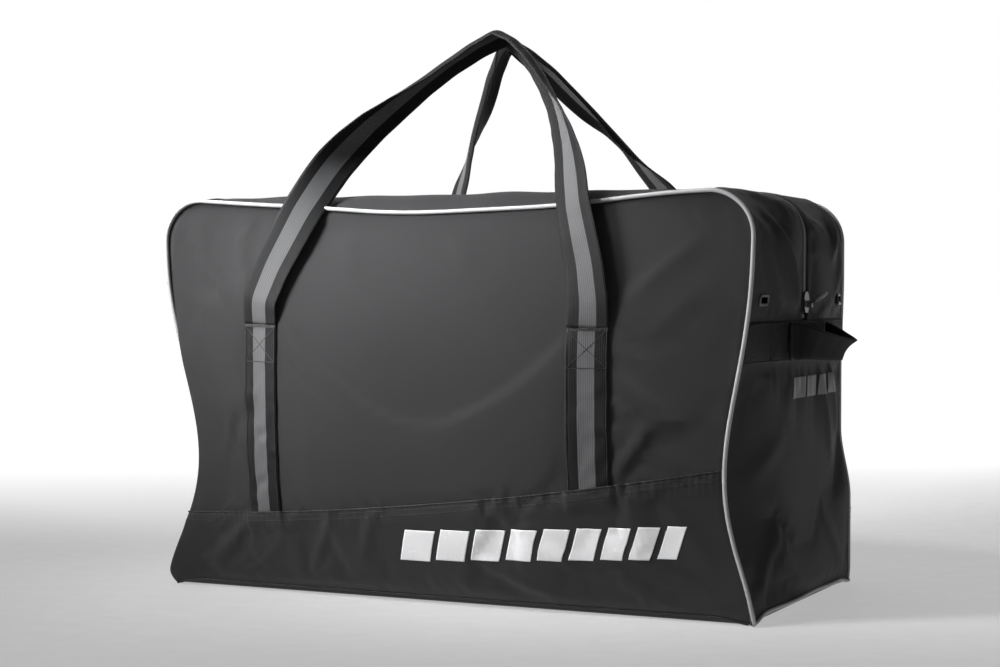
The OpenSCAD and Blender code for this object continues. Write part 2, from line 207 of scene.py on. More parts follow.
# Each fold's start and end, then its width and its height. On a wall the two coordinates are x and z, and
# on an end they are y and the length along the outline.
WALL_FOLDS = [
    ((0.335, 0.430), (0.235, 0.350), 0.011, 0.0030),
    ((0.350, 0.395), (0.265, 0.300), 0.013, 0.0026),
    ((0.330, 0.205), (0.240, 0.265), 0.012, 0.0028),
    ((0.335, 0.165), (0.225, 0.215), 0.010, 0.0022),
    ((0.245, 0.150), (0.300, 0.230), 0.010, 0.0022),
    ((-0.330, 0.150), (-0.295, 0.215), 0.008, 0.0030),
    ((-0.335, 0.185), (-0.260, 0.255), 0.014, 0.0018),
    ((-0.345, 0.425), (-0.270, 0.350), 0.012, 0.0020),
    ((0.020, 0.440), (0.060, 0.395), 0.012, 0.0022),
    ((-0.120, 0.440), (-0.090, 0.385), 0.016, 0.0016),
]
BASE_FOLDS = [
    ((-0.255, 0.100), (-0.315, 0.025), 0.012, 0.0030),
    ((-0.185, 0.106), (-0.235, 0.030), 0.010, 0.0026),
    ((-0.130, 0.108), (-0.165, 0.030), 0.009, 0.0024),
    ((-0.070, 0.110), (-0.095, 0.035), 0.010, 0.0020),
    ((0.060, 0.060), (0.160, 0.012), 0.010, 0.0034),
    ((0.120, 0.085), (0.290, 0.020), 0.011, 0.0040),
    ((0.215, 0.090), (0.345, 0.030), 0.012, 0.0036),
    ((0.300, 0.135), (0.350, 0.060), 0.012, 0.0026),
    ((0.090, 0.120), (0.150, 0.080), 0.009, 0.0020),
]
END_FOLDS = [
    ((-0.125, 0.452), (-0.020, 0.335), 0.010, 0.0060),
    ((-0.150, 0.420), (-0.090, 0.335), 0.013, 0.0030),
    ((0.160, 0.460), (0.085, 0.392), 0.010, 0.0050),
    ((0.172, 0.425), (0.105, 0.345), 0.011, 0.0044),
    ((0.060, 0.272), (0.120, 0.150), 0.011, 0.0048),
    ((0.112, 0.272), (0.165, 0.165), 0.010, 0.0040),
    ((-0.165, 0.140), (-0.060, 0.200), 0.014, 0.0030),
    ((-0.150, 0.020), (-0.070, 0.100), 0.013, 0.0034),
    ((0.150, 0.020), (0.060, 0.110), 0.013, 0.0030),
]

wall_slack = {}
end_slack = {}
SLACK_U = np.linspace(-1, 1, 89)
SLACK_Z = np.linspace(SEAM_Z, BODY_H, 49)
SLACK_Y = np.linspace(-HALF_D, HALF_D, 41)
SLACK_S = np.linspace(SEAM_Z, CORNER_Z + ARC, 57)


def field_at(field, columns, rows, a, b):
    """Value of a field at a and b, which its columns and rows cover evenly."""
    c = np.clip((a - columns[0]) / (columns[1] - columns[0]), 0, len(columns) - 1.001)
    r = np.clip((b - rows[0]) / (rows[1] - rows[0]), 0, len(rows) - 1.001)
    c0 = c.astype(int)
    r0 = r.astype(int)
    fc = c - c0
    fr = r - r0
    low = field[r0, c0] * (1 - fc) + field[r0, c0 + 1] * fc
    high = field[r0 + 1, c0] * (1 - fc) + field[r0 + 1, c0 + 1] * fc
    return low * (1 - fr) + high * fr


def wall_relief(side, u, z):
    """Folds of the front or back, outward."""
    u, z = np.broadcast_arrays(u, z)
    x = u * reach_at(z)
    seen_x = -side * x
    total = np.zeros(x.shape)
    hem = hem_at(side, x)
    above = smoothstep(z, hem - 0.002, hem + 0.012)
    for start, end, width, height in WALL_FOLDS:
        total = total + above * fold(seen_x, z, start, end, width, height)
    for start, end, width, height in BASE_FOLDS:
        total = total + (1 - above) * fold(seen_x, z, start, end, width, height)
    total = total + 0.0012 * np.sin(seen_x * 17 + z * 9) * np.sin(z * 21 - seen_x * 6 + 1)
    if side in wall_slack:
        total = total + field_at(wall_slack[side], SLACK_U, SLACK_Z, u, z)
    at_strap = np.exp(-(((np.abs(x) - STRAP_X) / 0.03) ** 4))
    edge = (1 - u**8) * smoothstep(z, 0.0, 0.03) * smoothstep(BODY_H - z, 0.0, 0.03)
    return total * edge * (1 - 0.6 * at_strap)


ROLL_X = 6 * MM
ROLL_Y = 5 * MM


def roll_at(end, z):
    """How much the cloth rolls over the piping: fully on the low part of one end of each wall."""
    low_part = 1 - smoothstep(z, 0.26, 0.38)
    return np.where(end > 0, low_part, 0.15)


def on_wall(side, u, z, out=0.0):
    """A point of the front (side -1) or the back (side 1), u from -1 to 1 and at height z."""
    u, z, out = np.broadcast_arrays(u, z, out)
    p = settle(u * reach_at(z), side * HALF_D, z)
    from_seam = (1 - np.abs(u)) * HALF_L
    rolled = smoothstep(from_seam, 0.0, 7 * MM) * (1 - smoothstep(from_seam, 7 * MM, 60 * MM))
    rolled = rolled * roll_at(side * u, z)
    p[..., 0] += np.sign(u) * ROLL_X * rolled
    p[..., 1] += side * (bulge_at(u, z) + wall_relief(side, u, z) + out + ROLL_Y * rolled)
    tuck = 1 - smoothstep(z, 0.0, 0.030)
    p[..., 1] -= side * 0.006 * tuck**2
    return p


def across_at(side, x, z):
    """The u of a point of the front or back that ends up at x once the ends have drawn in."""
    return x / np.abs(settle(np.sign(x) * reach_at(z), side * HALF_D, z)[..., 0])


def strap_middle(side, end):
    """X of a strap's middle. The front pair sits a little to the left of the bag's middle."""
    return end * STRAP_X - (8.5 * MM if side < 0 else 0)


def end_relief(side, s, y):
    """Folds of an end, outward. They die away at the band and beside the zip."""
    s, y = np.broadcast_arrays(s, y)
    total = np.zeros(s.shape)
    for start, end, width, height in END_FOLDS:
        total = total + fold(side * y, s, start, end, width, height)
    total = total + 0.0014 * np.sin(y * 27 + s * 13) * np.sin(s * 19 - y * 11 + 2)
    if side in end_slack:
        total = total + field_at(end_slack[side], SLACK_Y, SLACK_S, y, s)
    band = smoothstep(s, BAND_Z - 0.020, BAND_Z) * smoothstep(BAND_Z + BAND_H + 0.015 - s, 0.0, 0.02)
    zip_side = np.exp(-((y / 0.020) ** 4)) * smoothstep(s, 0.29, 0.31)
    edge = 1 - np.abs(y / HALF_D) ** 10
    ends = smoothstep(s, 0.0, 0.03) * smoothstep(CORNER_Z + ARC - s, 0.0, 0.03)
    return total * edge * ends * (1 - 0.85 * band) * (1 - zip_side)


def on_end(side, s, y, out=0.0):
    """A point of the right (side 1) or left (side -1) end, s along its outline."""
    s, y, out = np.broadcast_arrays(s, y, out)
    x, z = outline(s, out + end_relief(side, s, y))
    return settle(side * x, y, z)


# ---------------------------------------------------------------- mesh building


def link(obj):
    """Puts a new object in the scene."""
    bpy.context.scene.collection.objects.link(obj)
    return obj


def new_mesh(name, verts, faces, uvs=None, wear=None, flat_from=None):
    """A smooth mesh object, with its UV map in metres and its edge wear.

    Faces from flat_from on stay flat.
    """
    faces = [tuple(int(i) for i in face) for face in faces]
    used = sorted({i for face in faces for i in face})
    place = {old: new for new, old in enumerate(used)}
    mesh = bpy.data.meshes.new(name)
    mesh.from_pydata([tuple(verts[i]) for i in used], [], [[place[i] for i in face] for face in faces])
    smooth_count = len(faces) if flat_from is None else flat_from
    mesh.polygons.foreach_set("use_smooth", [i < smooth_count for i in range(len(faces))])
    if uvs is not None:
        layer = mesh.uv_layers.new(name="cloth")
        corner_verts = np.zeros(len(mesh.loops), dtype=int)
        mesh.loops.foreach_get("vertex_index", corner_verts)
        layer.data.foreach_set("uv", np.asarray(uvs)[used][corner_verts].ravel())
    if wear is not None:
        attribute = mesh.attributes.new("wear", "FLOAT", "POINT")
        attribute.data.foreach_set("value", np.asarray(wear)[used])
    mesh.update()
    return link(bpy.data.objects.new(name, mesh))


def grid_normals(grid, outward):
    """Unit normals of a grid of points, on the side that outward points to."""
    normal = unit(np.cross(np.gradient(grid, axis=0), np.gradient(grid, axis=1)))
    if (normal * np.asarray(outward)).sum(axis=-1).mean() < 0:
        normal = -normal
    return normal


def lengths(grid, axis):
    """Mean running length of a grid of points along one axis."""
    steps = np.linalg.norm(np.diff(grid, axis=axis), axis=-1).mean(axis=1 - axis)
    return np.concatenate([[0], np.cumsum(steps)])


def solid_sheet(name, outer, inner, keep=None, crisp=False):
    """A closed sheet between two grids of points, without the cells that keep leaves out.

    A crisp one has sharp rims, for a piece that goes on in the next one.
    """
    rows, cols = outer.shape[:2]
    count = rows * cols
    if keep is None:
        keep = np.ones((rows - 1, cols - 1), dtype=bool)
    index = np.arange(count).reshape(rows, cols)
    around = np.pad(keep, 1)
    faces = []
    rims = []
    for r in range(rows - 1):
        for c in range(cols - 1):
            if not keep[r, c]:
                continue
            corners = [index[r, c], index[r, c + 1], index[r + 1, c + 1], index[r + 1, c]]
            faces.append(corners)
            faces.append([i + count for i in reversed(corners)])
            beyond = [around[r, c + 1], around[r + 1, c + 2], around[r + 2, c + 1], around[r + 1, c]]
            for k in range(4):
                if not beyond[k]:
                    p, q = corners[k], corners[(k + 1) % 4]
                    rims.append([q, p, p + count, q + count])
    sheet_faces = len(faces)
    faces += rims
    middle = (rows // 2, cols // 2)
    turn = np.cross(
        outer[middle[0], middle[1]] - outer[middle[0] - 1, middle[1]],
        outer[middle[0], middle[1]] - outer[middle[0], middle[1] - 1],
    )
    if np.dot(turn, outer[middle] - inner[middle]) > 0:
        faces = [list(reversed(face)) for face in faces]
    u = lengths(outer, 1)
    v = lengths(outer, 0)
    uvs = np.stack(np.broadcast_arrays(u[None, :], v[:, None]), axis=-1).reshape(-1, 2)
    rim = np.minimum(np.minimum(u, u[-1] - u)[None, :], np.minimum(v, v[-1] - v)[:, None])
    wear = np.exp(-rim / (4 * MM)).ravel()
    return new_mesh(
        name,
        np.concatenate([outer.reshape(-1, 3), inner.reshape(-1, 3)]),
        faces,
        np.concatenate([uvs, uvs]),
        np.concatenate([wear, wear]) * (not crisp),
        sheet_faces if crisp else None,
    )


def shell(name, grid, outward, thick=CLOTH_T, keep=None, crisp=False):
    """A sheet of cloth whose outer face is the grid."""
    return solid_sheet(name, grid, grid - thick * grid_normals(grid, outward), keep, crisp)


def tube(name, path, radius, sides=12, closed=False, flat=1.0):
    """A tube along a path, of one radius or one for each point. flat squeezes it in the second direction."""
    path = np.asarray(path)
    radii = np.broadcast_to(radius, len(path))[:, None, None]
    if closed:
        along = unit(np.roll(path, -1, axis=0) - np.roll(path, 1, axis=0))
    else:
        along = unit(np.gradient(path, axis=0))
    middle = path.mean(axis=0)
    if closed:
        first = unit(path - middle)
        first = unit(first - along * (first * along).sum(axis=1, keepdims=True))
    else:
        first = np.empty_like(path)
        start = np.array((0.0, 1.0, 0.0)) if abs(along[0][1]) < 0.9 else np.array((1.0, 0.0, 0.0))
        for i, direction in enumerate(along):
            start = start - direction * np.dot(start, direction)
            start = start / np.linalg.norm(start)
            first[i] = start
    second = np.cross(along, first)
    angle = np.linspace(0, 2 * math.pi, sides, endpoint=False)
    rings = (
        path[:, None]
        + radii * np.cos(angle)[None, :, None] * first[:, None]
        + radii * flat * np.sin(angle)[None, :, None] * second[:, None]
    )
    n = len(path)
    faces = []
    for i in range(n if closed else n - 1):
        j = (i + 1) % n
        for k in range(sides):
            m = (k + 1) % sides
            faces.append([i * sides + k, i * sides + m, j * sides + m, j * sides + k])
    if not closed:
        faces.append([k for k in reversed(range(sides))])
        faces.append([(n - 1) * sides + k for k in range(sides)])
    run = np.concatenate([[0], np.cumsum(np.linalg.norm(np.diff(path, axis=0), axis=1))])
    uvs = np.stack(np.broadcast_arrays(radii[0, 0, 0] * angle[None, :], run[:, None]), axis=-1).reshape(-1, 2)
    return new_mesh(name, rings.reshape(-1, 3), faces, uvs, np.zeros(n * sides))


def rounded_block(size, bevel):
    """Points and faces of a small block with rounded edges, centred on the origin."""
    block = bmesh.new()
    bmesh.ops.create_cube(block, size=1)
    bmesh.ops.scale(block, vec=size, verts=block.verts)
    bmesh.ops.bevel(block, geom=block.edges[:], offset=bevel, segments=2, affect="EDGES", profile=0.6)
    block.verts.index_update()
    points = np.array([v.co for v in block.verts])
    faces = [[v.index for v in face.verts] for face in block.faces]
    block.free()
    return points, faces


def scatter(name, block, places):
    """One object with a copy of the block at each place: its centre, its length and its height directions."""
    points, block_faces = block
    verts = []
    faces = []
    for i, (centre, along, up) in enumerate(places):
        along = along / np.linalg.norm(along)
        side = np.cross(up, along)
        side = side / np.linalg.norm(side)
        up = np.cross(along, side)
        verts.append(centre + points[:, :1] * along + points[:, 1:2] * side + points[:, 2:] * up)
        faces.extend([[k + i * len(points) for k in face] for face in block_faces])
    verts = np.concatenate(verts)
    return new_mesh(name, verts, faces, verts[:, :2], np.zeros(len(verts)))


THREAD = rounded_block((2.3 * MM, 0.75 * MM, 0.6 * MM), 0.25 * MM)
HEAVY_THREAD = rounded_block((2.5 * MM, 0.9 * MM, 0.8 * MM), 0.3 * MM)


def stitch_places(path, up, pitch=STITCH):
    """Places for a row of stitches along a dense path, whose outward direction or directions are up."""
    path = np.asarray(path)
    up = np.broadcast_to(up, path.shape)
    run = np.concatenate([[0], np.cumsum(np.linalg.norm(np.diff(path, axis=0), axis=1))])
    middles = np.arange(pitch / 2, run[-1], pitch)
    centres = np.stack([np.interp(middles, run, path[:, k]) for k in range(3)], axis=1)
    ups = np.stack([np.interp(middles, run, up[:, k]) for k in range(3)], axis=1)
    along = np.gradient(centres, axis=0)
    return list(zip(centres, along, ups))


def smooth_path(points, step, blur):
    """A path through points at even steps, its corners softened over the length blur."""
    points = np.asarray(points)
    run = np.concatenate([[0], np.cumsum(np.linalg.norm(np.diff(points[:, :3], axis=0), axis=1))])
    even = np.linspace(0, run[-1], int(round(run[-1] / step)) + 1)
    path = np.stack([np.interp(even, run, points[:, k]) for k in range(points.shape[1])], axis=1)
    start, finish = path[0].copy(), path[-1].copy()
    for _ in range(int((blur / step) ** 2)):
        path[1:-1] = (path[:-2] + 2 * path[1:-1] + path[2:]) / 4
        path[0], path[-1] = start, finish
    return path


# ---------------------------------------------------------------- cloth simulation


SETTLE_FRAMES = 25


def simulate_slack(points, outward, hold, cap, pressure, weight):
    """How far a sewn panel moves outward once its cloth has spare length and the load presses on it."""
    rows, cols = points.shape[:2]
    index = np.arange(rows * cols).reshape(rows, cols)
    mesh = bpy.data.meshes.new("slack")
    faces = np.stack([index[:-1, :-1], index[:-1, 1:], index[1:, 1:], index[1:, :-1]], axis=-1)
    normals = grid_normals(points, outward)
    turn = np.cross(points[1, 0] - points[0, 0], points[0, 1] - points[0, 0])
    faces = faces.reshape(-1, 4)
    if np.dot(turn, normals[0, 0]) > 0:
        faces = faces[:, ::-1]
    mesh.from_pydata(points.reshape(-1, 3).tolist(), [], faces.tolist())
    obj = link(bpy.data.objects.new("slack", mesh))
    group = obj.vertex_groups.new(name="hold")
    for i, held in enumerate(hold.ravel()):
        if held > 0.01:
            group.add([i], float(held), "REPLACE")
    cloth = obj.modifiers.new("Cloth", "CLOTH")
    settings = cloth.settings
    settings.quality = 5
    settings.mass = 0.12
    settings.tension_stiffness = 25
    settings.compression_stiffness = 25
    settings.shear_stiffness = 8
    settings.bending_stiffness = 0.6
    settings.shrink_min = -0.018
    settings.use_pressure = True
    settings.uniform_pressure_force = pressure
    settings.vertex_group_mass = "hold"
    settings.effector_weights.gravity = weight
    scene = bpy.context.scene
    for step in range(1, SETTLE_FRAMES + 1):
        scene.frame_set(step)
    moved = obj.evaluated_get(bpy.context.evaluated_depsgraph_get())
    after = np.zeros(rows * cols * 3)
    moved.to_mesh().vertices.foreach_get("co", after)
    moved.to_mesh_clear()
    shift = ((after.reshape(rows, cols, 3) - points) * normals).sum(axis=-1)
    bpy.data.objects.remove(obj)
    scene.frame_set(1)
    return cap * np.tanh(shift / cap)


def border_hold(rows, cols):
    """Hold weights that pin a grid's border."""
    hold = np.zeros((rows, cols))
    hold[0, :] = hold[-1, :] = 1
    hold[:, 0] = hold[:, -1] = 1
    return hold


for wall_side in (-1, 1):
    slack_u, slack_z = np.meshgrid(SLACK_U, SLACK_Z)
    slack_x = slack_u * reach_at(slack_z)
    wall_hold = border_hold(len(SLACK_Z), len(SLACK_U))
    on_strap = (np.abs(np.abs(slack_x) - STRAP_X - 0.02) < STRAP_W / 2) & (slack_z < TACK_Z)
    on_hem = np.abs(slack_z - hem_at(wall_side, slack_x)) < 0.006
    wall_hold = np.maximum(wall_hold, 0.35 * (on_strap | on_hem))
    wall_points = on_wall(wall_side, slack_u, slack_z)
    wall_slack[wall_side] = simulate_slack(
        wall_points, (0, wall_side, 0), wall_hold, cap=2.5 * MM, pressure=0.25, weight=0.15
    )
for end_side in (-1, 1):
    slack_y, slack_s = np.meshgrid(SLACK_Y, SLACK_S)
    end_hold = border_hold(len(SLACK_S), len(SLACK_Y))
    on_band = (slack_s > BAND_Z) & (slack_s < BAND_Z + BAND_H)
    on_zip = (np.abs(slack_y) < 0.02) & (slack_s > END_SEAM_Z)
    end_hold = np.maximum(end_hold, 0.5 * (on_band | on_zip))
    end_points = on_end(end_side, slack_s, slack_y)
    end_slack[end_side] = simulate_slack(
        end_points, (end_side, 0, 0.3), end_hold, cap=5 * MM, pressure=0.7, weight=0.5
    )

# ---------------------------------------------------------------- materials


class Recipe:
    """A material under construction."""

    def __init__(self, name, colour, roughness, **sockets):
        self.material = bpy.data.materials.new(name)
        self.material.use_nodes = True
        self.tree = self.material.node_tree
        self.shader = self.tree.nodes["Principled BSDF"]
        self.shader.inputs["Base Color"].default_value = (*colour, 1)
        self.shader.inputs["Roughness"].default_value = roughness
        self.colour = colour
        self.roughness = roughness
        for socket, value in sockets.items():
            self.shader.inputs[socket.replace("_", " ")].default_value = value
        uv = self.node("ShaderNodeUVMap")
        uv.uv_map = "cloth"
        split = self.node("ShaderNodeSeparateXYZ")
        self.tree.links.new(uv.outputs[0], split.inputs[0])
        self.u = split.outputs[0]
        self.v = split.outputs[1]
        self.place = self.node("ShaderNodeTexCoord").outputs["Object"]

    def node(self, kind):
        return self.tree.nodes.new(kind)

    def maths(self, operation, a, b=0.0):
        """The result of one operation on two sockets or numbers."""
        node = self.node("ShaderNodeMath")
        node.operation = operation
        for socket, value in zip(node.inputs, (a, b)):
            if isinstance(value, (int, float)):
                socket.default_value = value
            else:
                self.tree.links.new(value, socket)
        return node.outputs[0]

    def noise(self, scale, detail=3.0):
        """Soft noise, from 0 to 1, with this many bumps per metre."""
        node = self.node("ShaderNodeTexNoise")
        node.inputs["Scale"].default_value = scale
        node.inputs["Detail"].default_value = detail
        self.tree.links.new(self.place, node.inputs["Vector"])
        return node.outputs["Fac"]

    def ribs(self, along, pitch):
        """Rounded ribs of this pitch across a UV direction."""
        return self.maths("ABSOLUTE", self.maths("SINE", self.maths("MULTIPLY", along, math.pi / pitch)))

    def weave(self, pitch_u, pitch_v):
        """Height of a plain weave: ribs that run over and under each other in turn."""
        cell_u = self.maths("FLOOR", self.maths("DIVIDE", self.u, pitch_u))
        cell_v = self.maths("FLOOR", self.maths("DIVIDE", self.v, pitch_v))
        over = self.maths("FLOORED_MODULO", self.maths("ADD", cell_u, cell_v), 2.0)
        warp = self.maths("MULTIPLY", self.ribs(self.u, pitch_u), over)
        weft = self.maths("MULTIPLY", self.ribs(self.v, pitch_v), self.maths("SUBTRACT", 1.0, over))
        return self.maths("ADD", warp, weft)

    def step(self, value, low, high):
        """0 below low and 1 above high."""
        node = self.node("ShaderNodeMapRange")
        node.interpolation_type = "SMOOTHSTEP"
        node.inputs["From Min"].default_value = low
        node.inputs["From Max"].default_value = high
        self.tree.links.new(value, node.inputs["Value"])
        return node.outputs["Result"]

    def blend(self, share, a, b):
        """A colour between a and b, which are sockets or colours."""
        node = self.node("ShaderNodeMix")
        node.data_type = "RGBA"
        self.tree.links.new(share, node.inputs["Factor"])
        for socket, value in ((node.inputs[6], a), (node.inputs[7], b)):
            if isinstance(value, tuple):
                socket.default_value = (*value, 1)
            else:
                self.tree.links.new(value, socket)
        return node.outputs[2]

    def wear(self):
        """How worn a point is, from the mesh's edge wear, broken up by noise."""
        node = self.node("ShaderNodeAttribute")
        node.attribute_name = "wear"
        return self.maths("MULTIPLY", node.outputs["Fac"], self.noise(90))

    def paint(self, colour):
        self.tree.links.new(colour, self.shader.inputs["Base Color"])

    def gloss(self, value, spread):
        """Roughness that varies by spread with a value from 0 to 1."""
        varied = self.maths("MULTIPLY_ADD", value, spread)
        varied.node.inputs[2].default_value = self.roughness - spread / 2
        self.tree.links.new(varied, self.shader.inputs["Roughness"])

    def bump(self, height, depth, strength=1.0):
        node = self.node("ShaderNodeBump")
        node.inputs["Strength"].default_value = strength
        node.inputs["Distance"].default_value = depth
        self.tree.links.new(height, node.inputs["Height"])
        self.tree.links.new(node.outputs[0], self.shader.inputs["Normal"])


def darker(colour, share):
    return tuple(c * share for c in colour)


def woven_cloth(name, colour, roughness, pitch, depth, **sockets):
    """Polyester cloth: a plain weave with uneven yarns, painted shade in the weave's hollows, soft colour
    changes and worn edges.
    """
    recipe = Recipe(name, colour, roughness, **sockets)
    weave = recipe.weave(pitch, pitch)
    patches = recipe.noise(9)
    yarns = recipe.noise(520, 2.0)
    body = recipe.blend(patches, darker(colour, 0.84), darker(colour, 1.16))
    # Painted shade, partly random yarn tone: the colour drops to 0.7 in the weave's hollows, where shade
    # falls, and on yarns that the noise makes darker.
    yarn_tone_and_hollow_shade = recipe.blend(recipe.maths("MULTIPLY", weave, yarns), darker(colour, 0.7), body)
    recipe.paint(recipe.blend(recipe.wear(), yarn_tone_and_hollow_shade, darker(colour, 2.1)))
    uneven = recipe.maths("ADD", recipe.maths("MULTIPLY", yarns, 0.5), recipe.maths("MULTIPLY", patches, 0.5))
    recipe.gloss(uneven, 0.2)
    height = recipe.maths("ADD", weave, recipe.maths("MULTIPLY", yarns, 0.8))
    recipe.bump(height, depth)
    return recipe.material


def striped_webbing(name, colour, stripe, roughness):
    """Webbing with a lighter ribbed stripe along its middle, over two fifths of its width. Its rib hollows
    carry painted shade and its rib tops a painted highlight.
    """
    recipe = Recipe(name, colour, roughness, Specular_IOR_Level=0.12)
    edge_a = STRAP_W * 0.30
    edge_b = STRAP_W * 0.70
    inside = recipe.maths(
        "MULTIPLY",
        recipe.step(recipe.u, edge_a - 0.4 * MM, edge_a + 0.4 * MM),
        recipe.maths("SUBTRACT", 1.0, recipe.step(recipe.u, edge_b - 0.4 * MM, edge_b + 0.4 * MM)),
    )
    ribs = recipe.ribs(recipe.u, 2.4 * MM)
    picks = recipe.ribs(recipe.v, 1.3 * MM)
    patches = recipe.noise(25)
    cloth = recipe.maths("ADD", recipe.maths("MULTIPLY", ribs, 0.7), recipe.maths("MULTIPLY", picks, 0.3))
    # Painted shade and highlight: the hollows of ribs and picks are darker and their tops lighter, on the
    # black part and on the stripe.
    dark = recipe.blend(cloth, darker(colour, 0.55), darker(colour, 1.25))
    light = recipe.blend(cloth, darker(stripe, 0.62), darker(stripe, 1.12))
    stripe_with_rib_shade = recipe.blend(inside, dark, light)
    worn = recipe.blend(recipe.wear(), stripe_with_rib_shade, darker(colour, 3.0))
    recipe.paint(recipe.blend(recipe.maths("MULTIPLY", patches, 0.25), worn, darker(colour, 0.6)))
    recipe.gloss(patches, 0.2)
    recipe.bump(cloth, 0.35 * MM)
    return recipe.material


def plain_webbing(name, colour, roughness):
    """Webbing with fine ribs along it and picks across it, their hollows painted darker as shade and their
    tops painted lighter as a highlight.
    """
    recipe = Recipe(name, colour, roughness, Specular_IOR_Level=0.12)
    cloth = recipe.maths(
        "ADD",
        recipe.maths("MULTIPLY", recipe.ribs(recipe.v, 2.2 * MM), 0.6),
        recipe.maths("MULTIPLY", recipe.ribs(recipe.u, 1.3 * MM), 0.4),
    )
    patches = recipe.noise(25)
    # Painted shade and highlight: the hollows between ribs and picks are darker and their tops lighter.
    base = recipe.blend(cloth, darker(colour, 0.5), darker(colour, 1.3))
    recipe.paint(recipe.blend(recipe.wear(), base, darker(colour, 2.5)))
    recipe.gloss(patches, 0.2)
    recipe.bump(cloth, 0.35 * MM)
    return recipe.material


def fine_finish(name, colour, roughness, grain, depth, **sockets):
    """A moulded, cast, coated or twisted surface: fine grain, soft colour changes and light scuffs."""
    recipe = Recipe(name, colour, roughness, **sockets)
    fine = recipe.noise(grain, 2.0)
    patches = recipe.noise(30)
    base = recipe.blend(patches, darker(colour, 0.85), darker(colour, 1.12))
    scuffs = recipe.step(recipe.noise(260, 4.0), 0.62, 0.72)
    recipe.paint(recipe.blend(recipe.maths("MULTIPLY", scuffs, 0.25), base, darker(colour, 1.5)))
    recipe.gloss(fine, 0.16)
    recipe.bump(fine, depth)
    return recipe.material


fabric = woven_cloth(
    "black_polyester", (0.041, 0.041, 0.0428), 0.50, 0.9 * MM, 0.35 * MM,
    Specular_IOR_Level=0.16,
)
coated = woven_cloth(
    "coated_polyester", (0.031, 0.031, 0.0325), 0.40, 1.1 * MM, 0.05 * MM,
    Specular_IOR_Level=0.18,
)
webbing = striped_webbing("striped_webbing", (0.0095, 0.0095, 0.010), (0.118, 0.118, 0.122), 0.55)
band_webbing = plain_webbing("black_webbing", (0.015, 0.015, 0.0157), 0.55)
piping_mat = fine_finish("grey_piping", (0.36, 0.36, 0.37), 0.38, 2600, 0.03 * MM, Specular_IOR_Level=0.5)
tape_mat = plain_webbing("zipper_tape", (0.010, 0.010, 0.011), 0.6)
teeth_mat = fine_finish("zipper_teeth", (0.16, 0.16, 0.165), 0.32, 1800, 0.02 * MM, Specular_IOR_Level=0.5)
metal = fine_finish("slider_metal", (0.28, 0.28, 0.29), 0.30, 1500, 0.02 * MM, Metallic=1.0)
grip_mat = fine_finish("grip_rubber", (0.22, 0.22, 0.23), 0.5, 1500, 0.05 * MM)
plastic = fine_finish("dark_plastic", (0.045, 0.045, 0.048), 0.36, 1800, 0.03 * MM, Specular_IOR_Level=0.5)
thread_mat = fine_finish("thread", (0.009, 0.009, 0.0095), 0.5, 3000, 0.05 * MM)
print_mat = fine_finish("silver_print", (0.78, 0.78, 0.79), 0.42, 1200, 0.02 * MM, Specular_IOR_Level=0.5)
dim_print_mat = fine_finish("grey_print", (0.17, 0.17, 0.175), 0.45, 1200, 0.02 * MM)


def dress(obj, material, body="bag", nodes=()):
    """Gives a new piece its material and its body, and hides the CAD nodes that it stands for."""
    obj.data.materials.append(material)
    if body:
        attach(obj, body)
    if nodes:
        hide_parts(*nodes)
    return obj


def cloth_panel(name, grid, outward, node, material=fabric, slot="woven_fabric", body="bag", **form):
    """A sewn panel of cloth over a grid of points, which stands for a CAD node."""
    piece = dress(shell(name, grid, outward, **form), material, body, [node])
    return piece


# ---------------------------------------------------------------- front, back and base panels

HEM_PROUD = 1.0 * MM


def strap_bump(side, x):
    """1 over a strap and 0 away from it, for cloth that lies over the strap's edge."""
    end = np.where(x < 0, -1, 1)
    from_strap = np.abs(x - strap_middle(side, end))
    return smoothstep(STRAP_W / 2 + 5 * MM - from_strap, 0.0, 5 * MM)


def on_base(side, u, z, out=0.0):
    """A point of a base panel's outer face. Its hem stands proud, most where it crosses a strap."""
    u, z = np.broadcast_arrays(u, z)
    flat_x = u * reach_at(z)
    x = settle(flat_x, side * HALF_D, z)[..., 0]
    hem = hem_at(side, flat_x)
    near_hem = smoothstep(z, hem - 0.028, hem - 0.014)
    pucker = 0.30 * MM * np.sin(x * 2 * math.pi / (2.5 * STITCH) + 3 * np.sin(x * 40))
    proud = near_hem * (HEM_PROUD + 3.0 * MM * strap_bump(side, x) + pucker)
    return on_wall(side, u, z, proud + out)


